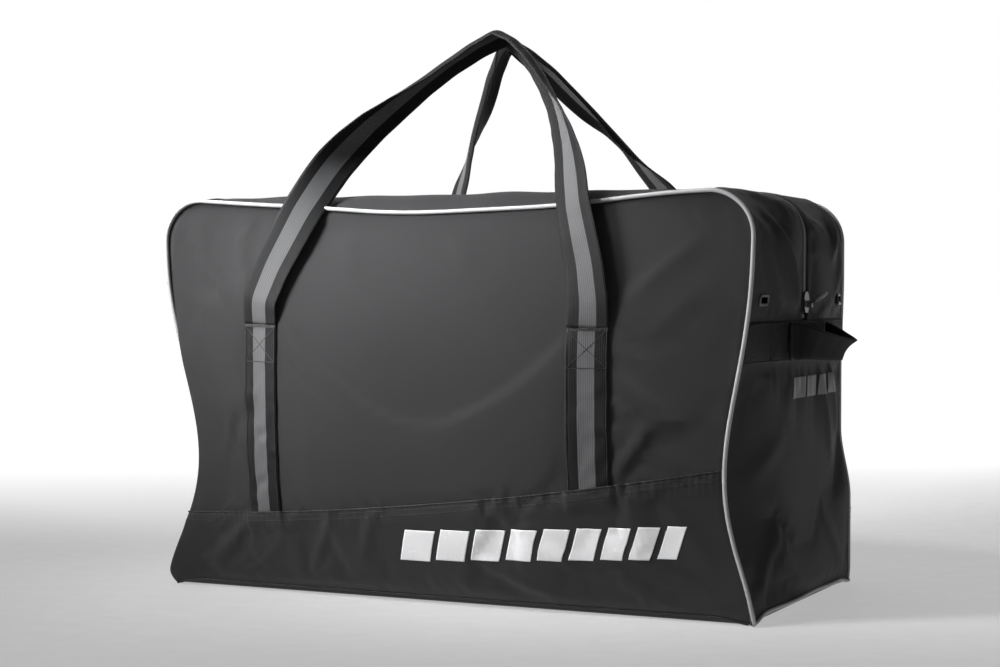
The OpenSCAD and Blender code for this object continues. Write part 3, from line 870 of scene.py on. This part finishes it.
for side, word in ((-1, "front"), (1, "back")):
    even = np.linspace(-1, 1, 221)
    us = 0.75 * even + 0.25 * np.sin(even * math.pi / 2)
    hems = hem_at(side, us * HALF_L)
    rows = np.linspace(0, 1, 91)[:, None]
    straight = hems - 14 * MM + (CORNER_Z - hems + 14 * MM) * rows
    arc = CORNER_Z + CORNER_R * np.sin(np.linspace(0, math.pi / 2, 18)[1:])[:, None] + 0 * hems
    panel_z = np.concatenate([straight, arc])
    panel = on_wall(side, np.broadcast_to(us, panel_z.shape), panel_z)
    cloth_panel(word + "_panel_cloth", panel, (0, side, 0), word + "_panel")

    foot_z = seam_at((1 - np.abs(us)) * HALF_L)
    base_z = foot_z + (hems - foot_z) * np.linspace(0, 1, 56)[:, None]
    base = on_base(side, np.broadcast_to(us, base_z.shape), base_z)
    cloth_panel(
        word + "_base_cloth", base, (0, side, 0), word + "_base_panel", coated, "coated_fabric",
        thick=1.6 * MM,
    )

    seam_u = np.linspace(-0.985, 0.985, 900)
    places = []
    for below in (4.5 * MM, 10.5 * MM):
        row_z = hem_at(side, seam_u * HALF_L) - below
        row = on_base(side, seam_u, row_z, 0.15 * MM)
        places += stitch_places(row, (0.0, side, 0.0))
    dress(scatter(word + "_hem_stitches", THREAD, places), thread_mat)

    fold_path = on_base(side, seam_u, hem_at(side, seam_u * HALF_L) - 0.3 * MM, -0.2 * MM)
    dress(tube(word + "_hem_edge", fold_path, 1.1 * MM, 8), coated)

    seam_path = on_wall(side, seam_u, seam_at((1 - np.abs(seam_u)) * HALF_L), 0.3 * MM)
    dress(tube(word + "_bottom_seam", seam_path, 1.4 * MM, 8), coated)

# ---------------------------------------------------------------- bottom

bottom_x = HALF_L * np.sin(np.linspace(-math.pi / 2, math.pi / 2, 121))
bottom_y = HALF_D * np.sin(np.linspace(-math.pi / 2, math.pi / 2, 61))
grid_x, grid_y = np.meshgrid(bottom_x, bottom_y)
near_rim = np.maximum(
    smoothstep(np.abs(grid_x), HALF_L - 0.012, HALF_L),
    smoothstep(np.abs(grid_y), HALF_D - 0.012, HALF_D),
)
rim_z = seam_at(np.maximum(HALF_L - np.abs(grid_x), HALF_D - np.abs(grid_y)))
grid_z = 0.4 * MM + rim_z * near_rim**2
inset_x = grid_x * (1 - foot_at(grid_x, rim_z) / HALF_L)
inset_y = grid_y * (1 - 5.5 * MM / HALF_D)
bottom = np.stack([inset_x, inset_y, grid_z], axis=-1)
cloth_panel("bottom_cloth", bottom, (0, 0, -1), "bottom_panel", coated, "coated_fabric", thick=2.0 * MM)

# ---------------------------------------------------------------- ends

GUSSET_OUT = 1.4 * MM     # the gusset laps over the end panel
LIP = 0.6 * MM            # and its edge beside the zip dips by this much
vent_half_w = VENT_W / 2 - VENT_LAP
vent_half_h = VENT_H / 2 - VENT_LAP
ARC_END = CORNER_Z + ARC

for side, word in ((1, "right"), (-1, "left")):
    ys = np.linspace(-HALF_D, HALF_D, 121)
    foot_s = seam_at(HALF_D - np.abs(ys))
    end_s = foot_s + (END_SEAM_Z - foot_s) * np.linspace(0, 1, 91)[:, None]
    panel = on_end(side, end_s, ys[None, :])
    cloth_panel(word + "_end_cloth", panel, (side, 0, 0), word + "_end_panel")

    for half, half_word in ((-1, "front"), (1, "rear")):
        gusset_y = np.concatenate([
            np.linspace(ZIP_SLOT - 4 * MM, VENT_Y - vent_half_w, 44)[:-1],
            np.linspace(VENT_Y - vent_half_w, VENT_Y + vent_half_w, 9)[:-1],
            np.linspace(VENT_Y + vent_half_w, HALF_D, 10),
        ])
        gusset_s = np.concatenate([
            np.linspace(END_SEAM_Z, VENT_Z - vent_half_h, 15)[:-1],
            np.linspace(VENT_Z - vent_half_h, VENT_Z + vent_half_h, 5)[:-1],
            np.linspace(VENT_Z + vent_half_h, ARC_END, 52),
        ])
        middle_y = (gusset_y[1:] + gusset_y[:-1]) / 2
        middle_s = (gusset_s[1:] + gusset_s[:-1]) / 2
        in_vent = (np.abs(middle_y - VENT_Y) < vent_half_w)[None, :] & (
            np.abs(middle_s - VENT_Z) < vent_half_h
        )[:, None]
        lip = LIP * (1 - smoothstep(gusset_y, ZIP_SLOT - 4 * MM, ZIP_SLOT + 2 * MM))
        gusset = on_end(side, gusset_s[:, None], half * gusset_y[None, :], GUSSET_OUT - lip)
        node = f"{word}_end_{half_word}_gusset"
        cloth_panel(node + "_cloth", gusset, (side, 0, 0.3), node, keep=~in_vent)

        edge_s = np.linspace(END_SEAM_Z + 26 * MM, ARC_END, 300)
        edge = on_end(side, edge_s, half * (ZIP_SLOT - 1 * MM), 1.7 * MM)
        raised = on_end(side, edge_s, half * ZIP_SLOT, 5 * MM)
        edge_up = unit(raised - on_end(side, edge_s, half * ZIP_SLOT, 0.0))
        dress(
            scatter(f"{word}_{half_word}_zip_stitches", THREAD, stitch_places(edge, edge_up)),
            thread_mat,
        )

        centre = on_end(side, VENT_Z, half * VENT_Y, 1.6 * MM)
        up_s = unit(on_end(side, VENT_Z + 6 * MM, half * VENT_Y, 1.6 * MM) - centre)
        up_y = unit(on_end(side, VENT_Z, half * VENT_Y + 10 * MM, 1.6 * MM) - centre)
        outward = unit(np.cross(up_y, up_s)) * side
        ring = []
        corner = 3.2 * MM
        for k in range(40):
            angle = 2 * math.pi * k / 40
            reach_w = VENT_W / 2 - VENT_RIM / 2
            reach_h = VENT_H / 2 - VENT_RIM / 2
            across = math.copysign(reach_w - corner, math.cos(angle)) + corner * math.cos(angle)
            height = math.copysign(reach_h - corner, math.sin(angle)) + corner * math.sin(angle)
            ring.append(centre + across * up_y + height * up_s)
        rim = tube(f"{word}_{half_word}_vent_rim", ring, VENT_RIM * 0.6, 12, closed=True, flat=0.6)
        dress(rim, plastic, nodes=[f"{word}_{half_word}_vent"])

# ---------------------------------------------------------------- end zips

TOOTH = rounded_block((6.6 * MM, 1.75 * MM, 2.5 * MM), 0.5 * MM)
TOOTH_PITCH = 3.0 * MM
TOOTH_OFF = 2.3 * MM      # from the middle of the zip to the middle of a tooth
TAPE_HALF_W = 24 * MM
TAPE_T = 0.9 * MM
END_TAPE_OUT = -2.6 * MM
END_TEETH_OUT = -1.2 * MM
TOP_TAPE_OUT = -2.8 * MM
TOP_TEETH_OUT = -1.5 * MM

for side, word in ((1, "right"), (-1, "left")):
    tape_y = np.linspace(-TAPE_HALF_W, TAPE_HALF_W, 17)[None, :]
    tape_s = np.linspace(END_SEAM_Z - 4 * MM, ARC_END + 1 * MM, 70)[:, None]
    tape = on_end(side, tape_s, tape_y, END_TAPE_OUT)
    dress(
        shell(word + "_end_tape", tape, (side, 0, 0.3), TAPE_T), tape_mat,
        nodes=[word + "_end_zipper_tape"],
    )
    places = []
    first_s = 333 * MM if side > 0 else 332 * MM
    for k, s in enumerate(np.arange(first_s, ARC_END - 1 * MM, TOOTH_PITCH / 2)):
        half = 1 if k % 2 else -1
        centre = on_end(side, s, half * TOOTH_OFF, END_TEETH_OUT)
        up = on_end(side, s, half * TOOTH_OFF, 3 * MM) - centre
        places.append((centre, np.array((0.0, half, 0.0)), up))
    dress(
        scatter(word + "_end_teeth", TOOTH, places), teeth_mat,
        nodes=[word + "_end_zipper_teeth"],
    )

# ---------------------------------------------------------------- top strips, flaps and their zips


UP = (0.0, 0.0, 1.0)


def on_top(half, x, y, out=0.0):
    """A point of the top, front half -1 or rear half 1, y measured from the middle."""
    x, y, out = np.broadcast_arrays(x, y, out)
    p = settle(x, half * y, BODY_H + 0 * y)
    crown = np.sin(math.pi * np.clip((y - FOLD_Y + 10 * MM) / (HALF_D - FOLD_Y + 10 * MM), 0, 1)) ** 2
    wave = np.sin(x * 31 + half) * np.sin(x * 13 + 1.5 * y / HALF_D) + 0.5 * np.sin(x * 67 + 20 * y)
    ends = smoothstep(CORNER_X - np.abs(x), 0.0, 0.03)
    ripple = 1.1 * MM * wave * smoothstep(y, ZIP_SLOT, 0.06) * smoothstep(HALF_D - y, 0.0, 0.02)
    p[..., 2] += out + ends * (0.8 * MM * crown + ripple)
    return p


def fold_with_flap(piece):
    """Bakes the transform of a half flap's piece into its mesh."""
    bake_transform(piece)


for half, word in ((-1, "front"), (1, "rear")):
    strip_x = np.linspace(-CORNER_X, CORNER_X, 161)
    strip_y = np.linspace(FOLD_Y, HALF_D, 15)
    strip = on_top(half, strip_x[None, :], strip_y[:, None])
    cloth_panel(word + "_top_strip_cloth", strip, (0, 0, 1), word + "_top_strip")

    row = on_top(half, np.linspace(-CORNER_X, CORNER_X, 700), FOLD_Y + 6 * MM, 0.15 * MM)
    dress(scatter(word + "_fold_stitches", THREAD, stitch_places(row, UP)), thread_mat)

    for side, side_word in ((-1, "left"), (1, "right")):
        flap = word + "_flap"
        flap_x = side * np.linspace(0, CORNER_X, 91)
        flap_y = np.linspace(ZIP_SLOT - 3 * MM, FOLD_Y, 55)
        cloth = on_top(half, flap_x[None, :], flap_y[:, None])
        piece = cloth_panel(f"{flap}_{side_word}_cloth", cloth, (0, 0, 1), flap, body=None, crisp=True)
        fold_with_flap(piece)

        tape_y = np.linspace(2.6 * MM, TAPE_HALF_W, 9)
        tape = on_top(half, flap_x[None, :], tape_y[:, None], TOP_TAPE_OUT)
        piece = dress(
            shell(f"{word}_{side_word}_tape", tape, (0, 0, 1), TAPE_T, crisp=True), tape_mat,
            body=None, nodes=[word + "_zipper_tape"],
        )
        fold_with_flap(piece)

        teeth_x = side * np.arange(TOOTH_PITCH / 2, CORNER_X - 2 * MM, TOOTH_PITCH)
        if half > 0:
            teeth_x = teeth_x + side * TOOTH_PITCH / 2
        places = []
        for x in teeth_x:
            centre = on_top(half, x, TOOTH_OFF, TOP_TEETH_OUT)
            places.append((centre, np.array((0.0, half, 0.0)), np.array(UP)))
        piece = dress(
            scatter(f"{word}_{side_word}_teeth", TOOTH, places), teeth_mat, body=None,
            nodes=[word + "_zipper_teeth"],
        )
        fold_with_flap(piece)

        row = on_top(half, side * np.linspace(0, CORNER_X, 400), ZIP_SLOT + 1 * MM, 0.15 * MM)
        stitches = scatter(f"{flap}_{side_word}_stitches", THREAD, stitch_places(row, UP))
        piece = dress(stitches, thread_mat, body=None)
        fold_with_flap(piece)

# ---------------------------------------------------------------- piping

for side, word in ((-1, "front"), (1, "rear")):
    half_s = np.linspace(SEAM_LOW + 1.5 * MM, ARC_END + CORNER_X, 330)
    px, pz = outline(half_s, 1.8 * MM)
    px = np.concatenate([px, -px[-2::-1]])
    pz = np.concatenate([pz, pz[-2::-1]])
    low = 1 - smoothstep(pz, 0.0, 0.03)
    path = settle(px, side * (HALF_D + PIPING_OFF), pz)
    hidden = roll_at(side * px, pz) * smoothstep(np.abs(px), CORNER_X, HALF_L)
    path[:, 0] -= np.sign(px) * 2.5 * MM * hidden
    path[:, 1] -= side * (5 * MM * low**2 + 1.5 * MM * hidden)
    path[:, 2] += 0.7 * MM * np.sin(px * 29) * smoothstep(pz, 0.44, 0.46)
    dress(tube(word + "_piping_cord", path, PIPING_R, 14), piping_mat, nodes=[word + "_piping"])

for side, word in ((1, "right"), (-1, "left")):
    cord_y = np.linspace(-HALF_D, HALF_D, 120)
    cord_z = seam_at(HALF_D - np.abs(cord_y)) + 1.0 * MM + 0.7 * MM * np.sin(cord_y * 38)
    path = settle(side * (HALF_L + 0.6 * MM), cord_y * (1 - 3 * MM / HALF_D), cord_z)
    dress(tube(word + "_base_cord", path, 2.3 * MM, 12), piping_mat, nodes=[word + "_base_piping"])

# ---------------------------------------------------------------- straps and handles

STRAP_OUT = 0.5 * MM      # the strap's back lies this far off the wall
BOX_H = 45 * MM           # height of the box tack


def sew(side, strap_x, x_from, z_from, x_to, z_to, pitch=STITCH):
    """Stitches in a straight line over a strap, from places beside its middle and heights."""
    t = np.linspace(0, 1, 60)
    x = strap_x + x_from + (x_to - x_from) * t
    z = z_from + (z_to - z_from) * t
    row = on_wall(side, across_at(side, x, z), z, STRAP_OUT + STRAP_T)
    return stitch_places(row, (0.0, side, 0.0), pitch)


for side, word in ((-1, "front"), (1, "rear")):
    for end, end_word in ((1, "right"), (-1, "left")):
        strap_x = strap_middle(side, end)
        low = hem_at(side, across_at(side, strap_x, HEM_MID) * HALF_L) - 13 * MM
        strap_z = np.linspace(low, TACK_Z, 80)[:, None]
        offset = np.linspace(-STRAP_W / 2, STRAP_W / 2, 13)[None, :]
        rim_ease = 1 - 0.35 * np.abs(offset / (STRAP_W / 2)) ** 8
        kinks = 0.36 * MM * np.sin(strap_z * 120) * smoothstep(TACK_Z - strap_z, 0.06, 0.10)
        u = across_at(side, strap_x + offset, strap_z)
        outer = on_wall(side, u, strap_z + 0 * offset, STRAP_OUT + STRAP_T * rim_ease + kinks)
        inner = on_wall(side, u, strap_z + 0 * offset, 0.4 * MM + STRAP_T * (1 - rim_ease) + kinks)
        node = f"{word}_{end_word}_strap"
        dress(solid_sheet(node + "_webbing", outer, inner), webbing, nodes=[node])

        half_w = STRAP_W / 2 - 2.2 * MM
        box_low = TACK_Z - BOX_H
        box_high = TACK_Z - 3 * MM
        places = []
        for edge in (-half_w, half_w):
            places += sew(side, strap_x, edge, low + 6 * MM, edge, TACK_Z)
        places += sew(side, strap_x, -half_w, box_low, half_w, box_low)
        places += sew(side, strap_x, -half_w, box_low, half_w, box_high)
        places += sew(side, strap_x, half_w, box_low, -half_w, box_high)
        for k in range(3):
            tack = TACK_Z - 0.8 * MM - 1.1 * MM * k
            places += sew(side, strap_x, -half_w - 1 * MM, tack, half_w + 1 * MM, tack, 2.6 * MM)
        dress(scatter(node + "_stitches", HEAVY_THREAD, places), thread_mat)

# Half of a handle, from its tack to the top. Each row has x, y and z in mm, as on the right of the front,
# then how far the webbing turns there in degrees on the right and on the left.
FRONT_HALF = [
    (208, -227, 345, 0, 6), (197, -221, 385, -8, 2), (184, -214, 418, -10, -5), (172, -202, 450, -14, -15),
    (160, -181, 483, -16, -30), (151, -165, 506, -25, -40), (139, -145, 530, -33, -50),
    (124, -124, 555, -42, -60), (105, -101, 580, -54, -72), (82, -78, 606, -60, -86),
    (58, -58, 630, -65, -88), (30, -39, 653, -68, -82),
]
REAR_HALF = [
    (206, -227, 345, -5, -178), (194, -221, 385, -15, -172), (180, -214, 418, -25, -162),
    (165, -202, 450, -35, -152), (144, -178, 488, -42, -140), (128, -160, 512, -55, -133),
    (113, -142, 536, -70, -122), (98, -124, 558, -69, -115), (80, -104, 581, -53, -106),
    (62, -84, 604, -46, -104), (45, -64, 627, -46, -104), (24, -44, 650, -54, -106),
]
TACK_TURN = 8.4
APEX_Z = 669
APEX_Y = -29
APEX_TURN = -74
REAR_LEAN = -15


def handle_path(side, half_route):
    """Points and turns of a whole handle, from its right tack over the top to its left tack."""
    route = []
    for end, column in ((1, 3), (-1, 4)):
        strap_x = strap_middle(side, end)
        tack_u = across_at(side, np.array(strap_x), np.array(TACK_Z))
        tack = on_wall(side, tack_u, TACK_Z, 0.45 * MM + STRAP_T / 2)
        half_turn = -180 if side > 0 > end else 0
        points = [(*tack, half_turn - side * TACK_TURN)]
        for row in half_route:
            x, y, z = (value * MM for value in row[:3])
            lean = REAR_LEAN * MM * smoothstep(z, 0.37, 0.47)
            if side < 0:
                lean = (strap_x - end * STRAP_X) * (1 - smoothstep(z, TACK_Z, 0.43))
            points.append((end * x + lean, -side * y, z, row[column]))
        route.append(points)
    apex = (REAR_LEAN * MM if side > 0 else 0, -side * APEX_Y * MM, APEX_Z * MM, APEX_TURN)
    return np.array(route[0] + [apex] + route[1][::-1])


for side, word, half_route in ((-1, "front", FRONT_HALF), (1, "rear", REAR_HALF)):
    route = smooth_path(handle_path(side, half_route), 4 * MM, 8 * MM)
    path = route[:, :3]
    turn = np.radians(route[:, 3])[:, None]
    along = unit(np.gradient(path, axis=0))
    rise = unit(np.cross(along, np.array((0.0, -1.0, 0.0))))
    depth = np.cross(along, rise)
    across = np.cos(turn) * rise + np.sin(turn) * depth
    facing = np.cross(across, along)
    cup = 1.0 * smoothstep(path[:, 2], 0.46, 0.60)[:, None] + 0.02
    a = np.linspace(-1, 1, 17)[None, :]
    arc_turn = a * cup
    radius = STRAP_W / 2 / cup
    flat_part = (radius * np.sin(arc_turn))[..., None] * across[:, None]
    curl_part = (radius * (1 - np.cos(arc_turn)))[..., None] * facing[:, None]
    local_out = np.cos(arc_turn)[..., None] * facing[:, None] - np.sin(arc_turn)[..., None] * across[:, None]
    middle = path[:, None] + flat_part + curl_part
    half_t = STRAP_T / 2 * (1 - 0.35 * np.abs(a) ** 8)
    outer = middle + half_t[..., None] * local_out
    inner = middle - half_t[..., None] * local_out
    body = word + "_handle"
    piece = dress(solid_sheet(body + "_webbing", outer, inner), webbing, body=None, nodes=[body])
    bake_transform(piece)

# ---------------------------------------------------------------- grab bands and loops

# Y along the band, distance off its face, and fall of the loop's middle, in mm.
LOOP_LINE = [
    (-66, 1.5, 0), (-55, 2.0, 0), (-51, 5.0, 0), (-49, 14.0, -1), (-43, 22.0, -3), (-24, 32.0, -6),
    (-4, 40.0, -8), (12, 44.5, -9), (21, 39.0, -8), (34, 28.0, -6), (46, 17.0, -3), (57, 7.0, -1),
    (64, 2.4, 0), (74, 1.6, 0),
]
LOOP_REACH = 44 * MM


def sew_band(side, y_from, z_from, y_to, z_to):
    """Stitches in a straight line over a band."""
    t = np.linspace(0, 1, 120)
    row = on_end(side, z_from + (z_to - z_from) * t, y_from + (y_to - y_from) * t, BAND_OUT + 0.1 * MM)
    return stitch_places(row, (float(side), 0.0, 0.0))


for side, word in ((1, "right"), (-1, "left")):
    ys = np.linspace(-HALF_D + 1 * MM, HALF_D - 1 * MM, 121)
    band_s = BAND_Z + BAND_H * np.linspace(0, 1, 17)
    rim_ease = 1 - 0.35 * np.abs(np.linspace(-1, 1, 17)) ** 8
    outer = on_end(side, band_s[:, None], ys[None, :], BAND_OUT * rim_ease[:, None])
    inner = on_end(side, band_s[:, None], ys[None, :], BAND_OUT * (1 - rim_ease[:, None]) + 0.6 * MM)
    band = solid_sheet(word + "_band_webbing", outer, inner)
    dress(band, band_webbing, nodes=[word + "_grab_band"])

    low = BAND_Z + 3 * MM
    high = BAND_Z + BAND_H - 3 * MM
    edge_y = HALF_D - 3 * MM
    places = sew_band(side, -edge_y, low, edge_y, low)
    places += sew_band(side, -edge_y, high, edge_y, high)
    for half in (-1, 1):
        near = half * 72 * MM
        far = half * 114 * MM
        places += sew_band(side, near, low, near, high)
        places += sew_band(side, far, low, far, high)
        places += sew_band(side, near, low, far, high)
        places += sew_band(side, near, high, far, low)
    dress(scatter(word + "_band_stitches", HEAVY_THREAD, places), thread_mat)

    band_x = HALF_L - 0.9 * MM + BAND_OUT
    band_mid = BAND_Z + BAND_H / 2
    line = np.array([
        (side * (band_x + off * MM), side * y * MM, band_mid + fall * MM) for y, off, fall in LOOP_LINE
    ])
    line = smooth_path(line, 2 * MM, 3 * MM)
    along = unit(np.gradient(line, axis=0))
    reach = np.clip((side * line[:, 0] - band_x) / LOOP_REACH, 0, 1)[:, None]
    upright = unit(np.array((0.0, 0.0, 1.0)) + reach * np.array((side * 0.80, 0.0, 0.0)))
    upright = unit(upright - along * (upright * along).sum(axis=1, keepdims=True))
    facing = np.cross(along, upright)
    width = (BAND_H - 5 * MM) / 2 * (1 - 0.32 * reach)
    a = np.linspace(-1, 1, 13)[None, :]
    curl = 3.5 * MM * reach * (a**2 - 0.3)
    middle = line[:, None] + (a * width)[..., None] * upright[:, None] + curl[..., None] * facing[:, None]
    half_t = 1.5 * MM * (1 - 0.35 * np.abs(a) ** 8) + 0 * reach
    outer = middle + half_t[..., None] * facing[:, None]
    inner = middle - half_t[..., None] * facing[:, None]
    body = word + "_loop"
    piece = dress(
        solid_sheet(word + "_loop_webbing", outer, inner), band_webbing, body=None,
        nodes=[word + "_grab_loop"],
    )
    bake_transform(piece)

# ---------------------------------------------------------------- plain printed bars


PRINT_T = 0.6 * MM


def bar(name, point, a_from, a_to, b_from, b_to, slant, material):
    """A slanted bar of print. point(a, b, out) is the surface it is printed on."""
    across = np.linspace(a_from, a_to, 32)[None, :]
    height = np.linspace(b_from, b_to, 28)[:, None]
    lean = slant * (height - b_from)
    outer = point(across + lean, height + 0 * across, PRINT_T)
    inner = point(across + lean, height + 0 * across, 0.0)
    return dress(solid_sheet(name, outer, inner), material)


def front_print(x, z, out):
    return on_base(-1, across_at(-1, x, z), z, out)


def end_print(y, s, out):
    return on_end(1, s, y, out)


BAR_GAP = 8 * MM
FRONT_BARS_X = -36 * MM
FRONT_BARS_Z = 52 * MM
FRONT_BAR_H = 36 * MM
FRONT_BARS_RISE = 0.055
END_BARS_Y = -45 * MM
END_BARS_Z = 236 * MM
END_BAR_H = 24 * MM

bar_x = FRONT_BARS_X
for k in range(9):
    bar_w = (38 - 2.2 * k) * MM
    low = FRONT_BARS_Z + FRONT_BARS_RISE * (bar_x - FRONT_BARS_X)
    bar(f"front_bar_{k + 1}", front_print, bar_x, bar_x + bar_w, low, low + FRONT_BAR_H, 0.34, print_mat)
    bar_x += bar_w + BAR_GAP

bar_y = END_BARS_Y
high = END_BARS_Z + END_BAR_H
for k in range(4):
    bar_w = (44 - 4 * k) * MM
    bar(f"end_bar_{k + 1}", end_print, bar_y, bar_y + bar_w, END_BARS_Z, high, 0.28, dim_print_mat)
    bar_y += bar_w + BAR_GAP

# ---------------------------------------------------------------- hardware kept from the CAD model

grip_low, grip_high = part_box("pull_grip")
grip_run = np.linspace(-1, 1, 25)
grip_start = np.array((grip_low.x - 3.5 * MM, 0.0, grip_low.z - 1 * MM))
grip_end = np.array((grip_high.x - 4 * MM, 0.0, grip_high.z - 1 * MM))
grip_path = grip_start + (grip_run[:, None] + 1) / 2 * (grip_end - grip_start)
grip_radius = 4.6 * MM * np.sqrt(np.maximum(0.02, 1 - grip_run**2)) * (0.86 + 0.14 * grip_run)
grip = tube("pull_grip_rubber", grip_path, grip_radius, 20, flat=0.8)
dress(grip, grip_mat, "pull", ["pull_grip"])

for node, material in (
    ("zipper_slider", metal), ("zipper_pull", metal),
    ("right_zipper_stop", plastic), ("left_zipper_stop", plastic),
):
    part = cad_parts[node]
    for material_slot in part.material_slots:
        material_slot.material = material
    bevel = part.modifiers.new("rounded edges", "BEVEL")
    bevel.width = 0.4 * MM
    bevel.segments = 2
    bevel.limit_method = "ANGLE"

# ---------------------------------------------------------------- floor and light

floor_mesh = bpy.data.meshes.new("floor")
floor_mesh.from_pydata([(-60, -60, 0), (60, -60, 0), (60, 60, 0), (-60, 60, 0)], [], [(0, 1, 2, 3)])
floor = link(bpy.data.objects.new("floor", floor_mesh))
floor_paint = fine_finish(
    "pale_floor", (0.30, 0.30, 0.30), 0.8, 400, 0.02 * MM,
    Emission_Color=(1.0, 1.0, 1.0, 1.0), Specular_IOR_Level=0.1,
)
floor.data.materials.append(floor_paint)


BACKDROP = (-0.50, 0.85, 0.10)


def brightness(tree, vector, low, high, dark, light):
    """Dark to light as a direction turns towards the backdrop behind the bag."""
    towards = tree.nodes.new("ShaderNodeVectorMath")
    towards.operation = "DOT_PRODUCT"
    towards.inputs[1].default_value = BACKDROP
    shade = tree.nodes.new("ShaderNodeMapRange")
    shade.inputs["From Min"].default_value = low
    shade.inputs["From Max"].default_value = high
    shade.inputs["To Min"].default_value = dark
    shade.inputs["To Max"].default_value = light
    tree.links.new(vector, towards.inputs[0])
    tree.links.new(towards.outputs["Value"], shade.inputs["Value"])
    return shade.outputs["Result"]


floor_tree = floor_paint.node_tree
floor_place = floor_tree.nodes.new("ShaderNodeTexCoord").outputs["Object"]
floor_turn = floor_tree.nodes.new("ShaderNodeVectorMath")
floor_turn.operation = "NORMALIZE"
floor_tree.links.new(floor_place, floor_turn.inputs[0])
glow = floor_tree.nodes.new("ShaderNodeMath")
glow.operation = "MULTIPLY_ADD"
glow.inputs[2].default_value = 0.42
floor_tree.links.new(brightness(floor_tree, floor_turn.outputs[0], 0.45, 0.80, 0.0, 1.0), glow.inputs[0])
floor_tree.links.new(brightness(floor_tree, floor_place, 0.3, 1.6, 0.0, 0.55), glow.inputs[1])
floor_tree.links.new(glow.outputs[0], floor_tree.nodes["Principled BSDF"].inputs["Emission Strength"])


def softbox(name, place, target, size, power, spread=180):
    """A square soft light that shines at target, in a beam of spread degrees."""
    data = bpy.data.lights.new(name, "AREA")
    data.size = size
    data.energy = power
    data.spread = math.radians(spread)
    lamp = link(bpy.data.objects.new(name, data))
    lamp.location = place
    lamp.rotation_euler = (Vector(target) - Vector(place)).to_track_quat("-Z", "Y").to_euler()


softbox("key", (-1.10, -1.05, 0.95), (-0.20, -0.20, 0.52), 0.6, 4.3, 36)
softbox("high", (-0.75, -1.00, 1.75), (-0.16, -0.16, 0.60), 0.5, 2.4, 34)
softbox("top", (-0.4, 0.2, 2.4), (0.0, 0.0, 0.4), 1.6, 7)
softbox("rim", (1.9, 0.9, 1.3), (0.37, 0.0, 0.30), 0.8, 0.12)

world = bpy.data.worlds.new("studio")
world.use_nodes = True
bpy.context.scene.world = world
tree = world.node_tree
background = tree.nodes["Background"]
direction = tree.nodes.new("ShaderNodeTexCoord")
shade = brightness(tree, direction.outputs["Generated"], 0.78, 0.92, 0.05, 1.0)
tree.links.new(shade, background.inputs["Color"])
background.inputs["Strength"].default_value = 1.0
bpy.context.scene.view_settings.view_transform = "Standard"
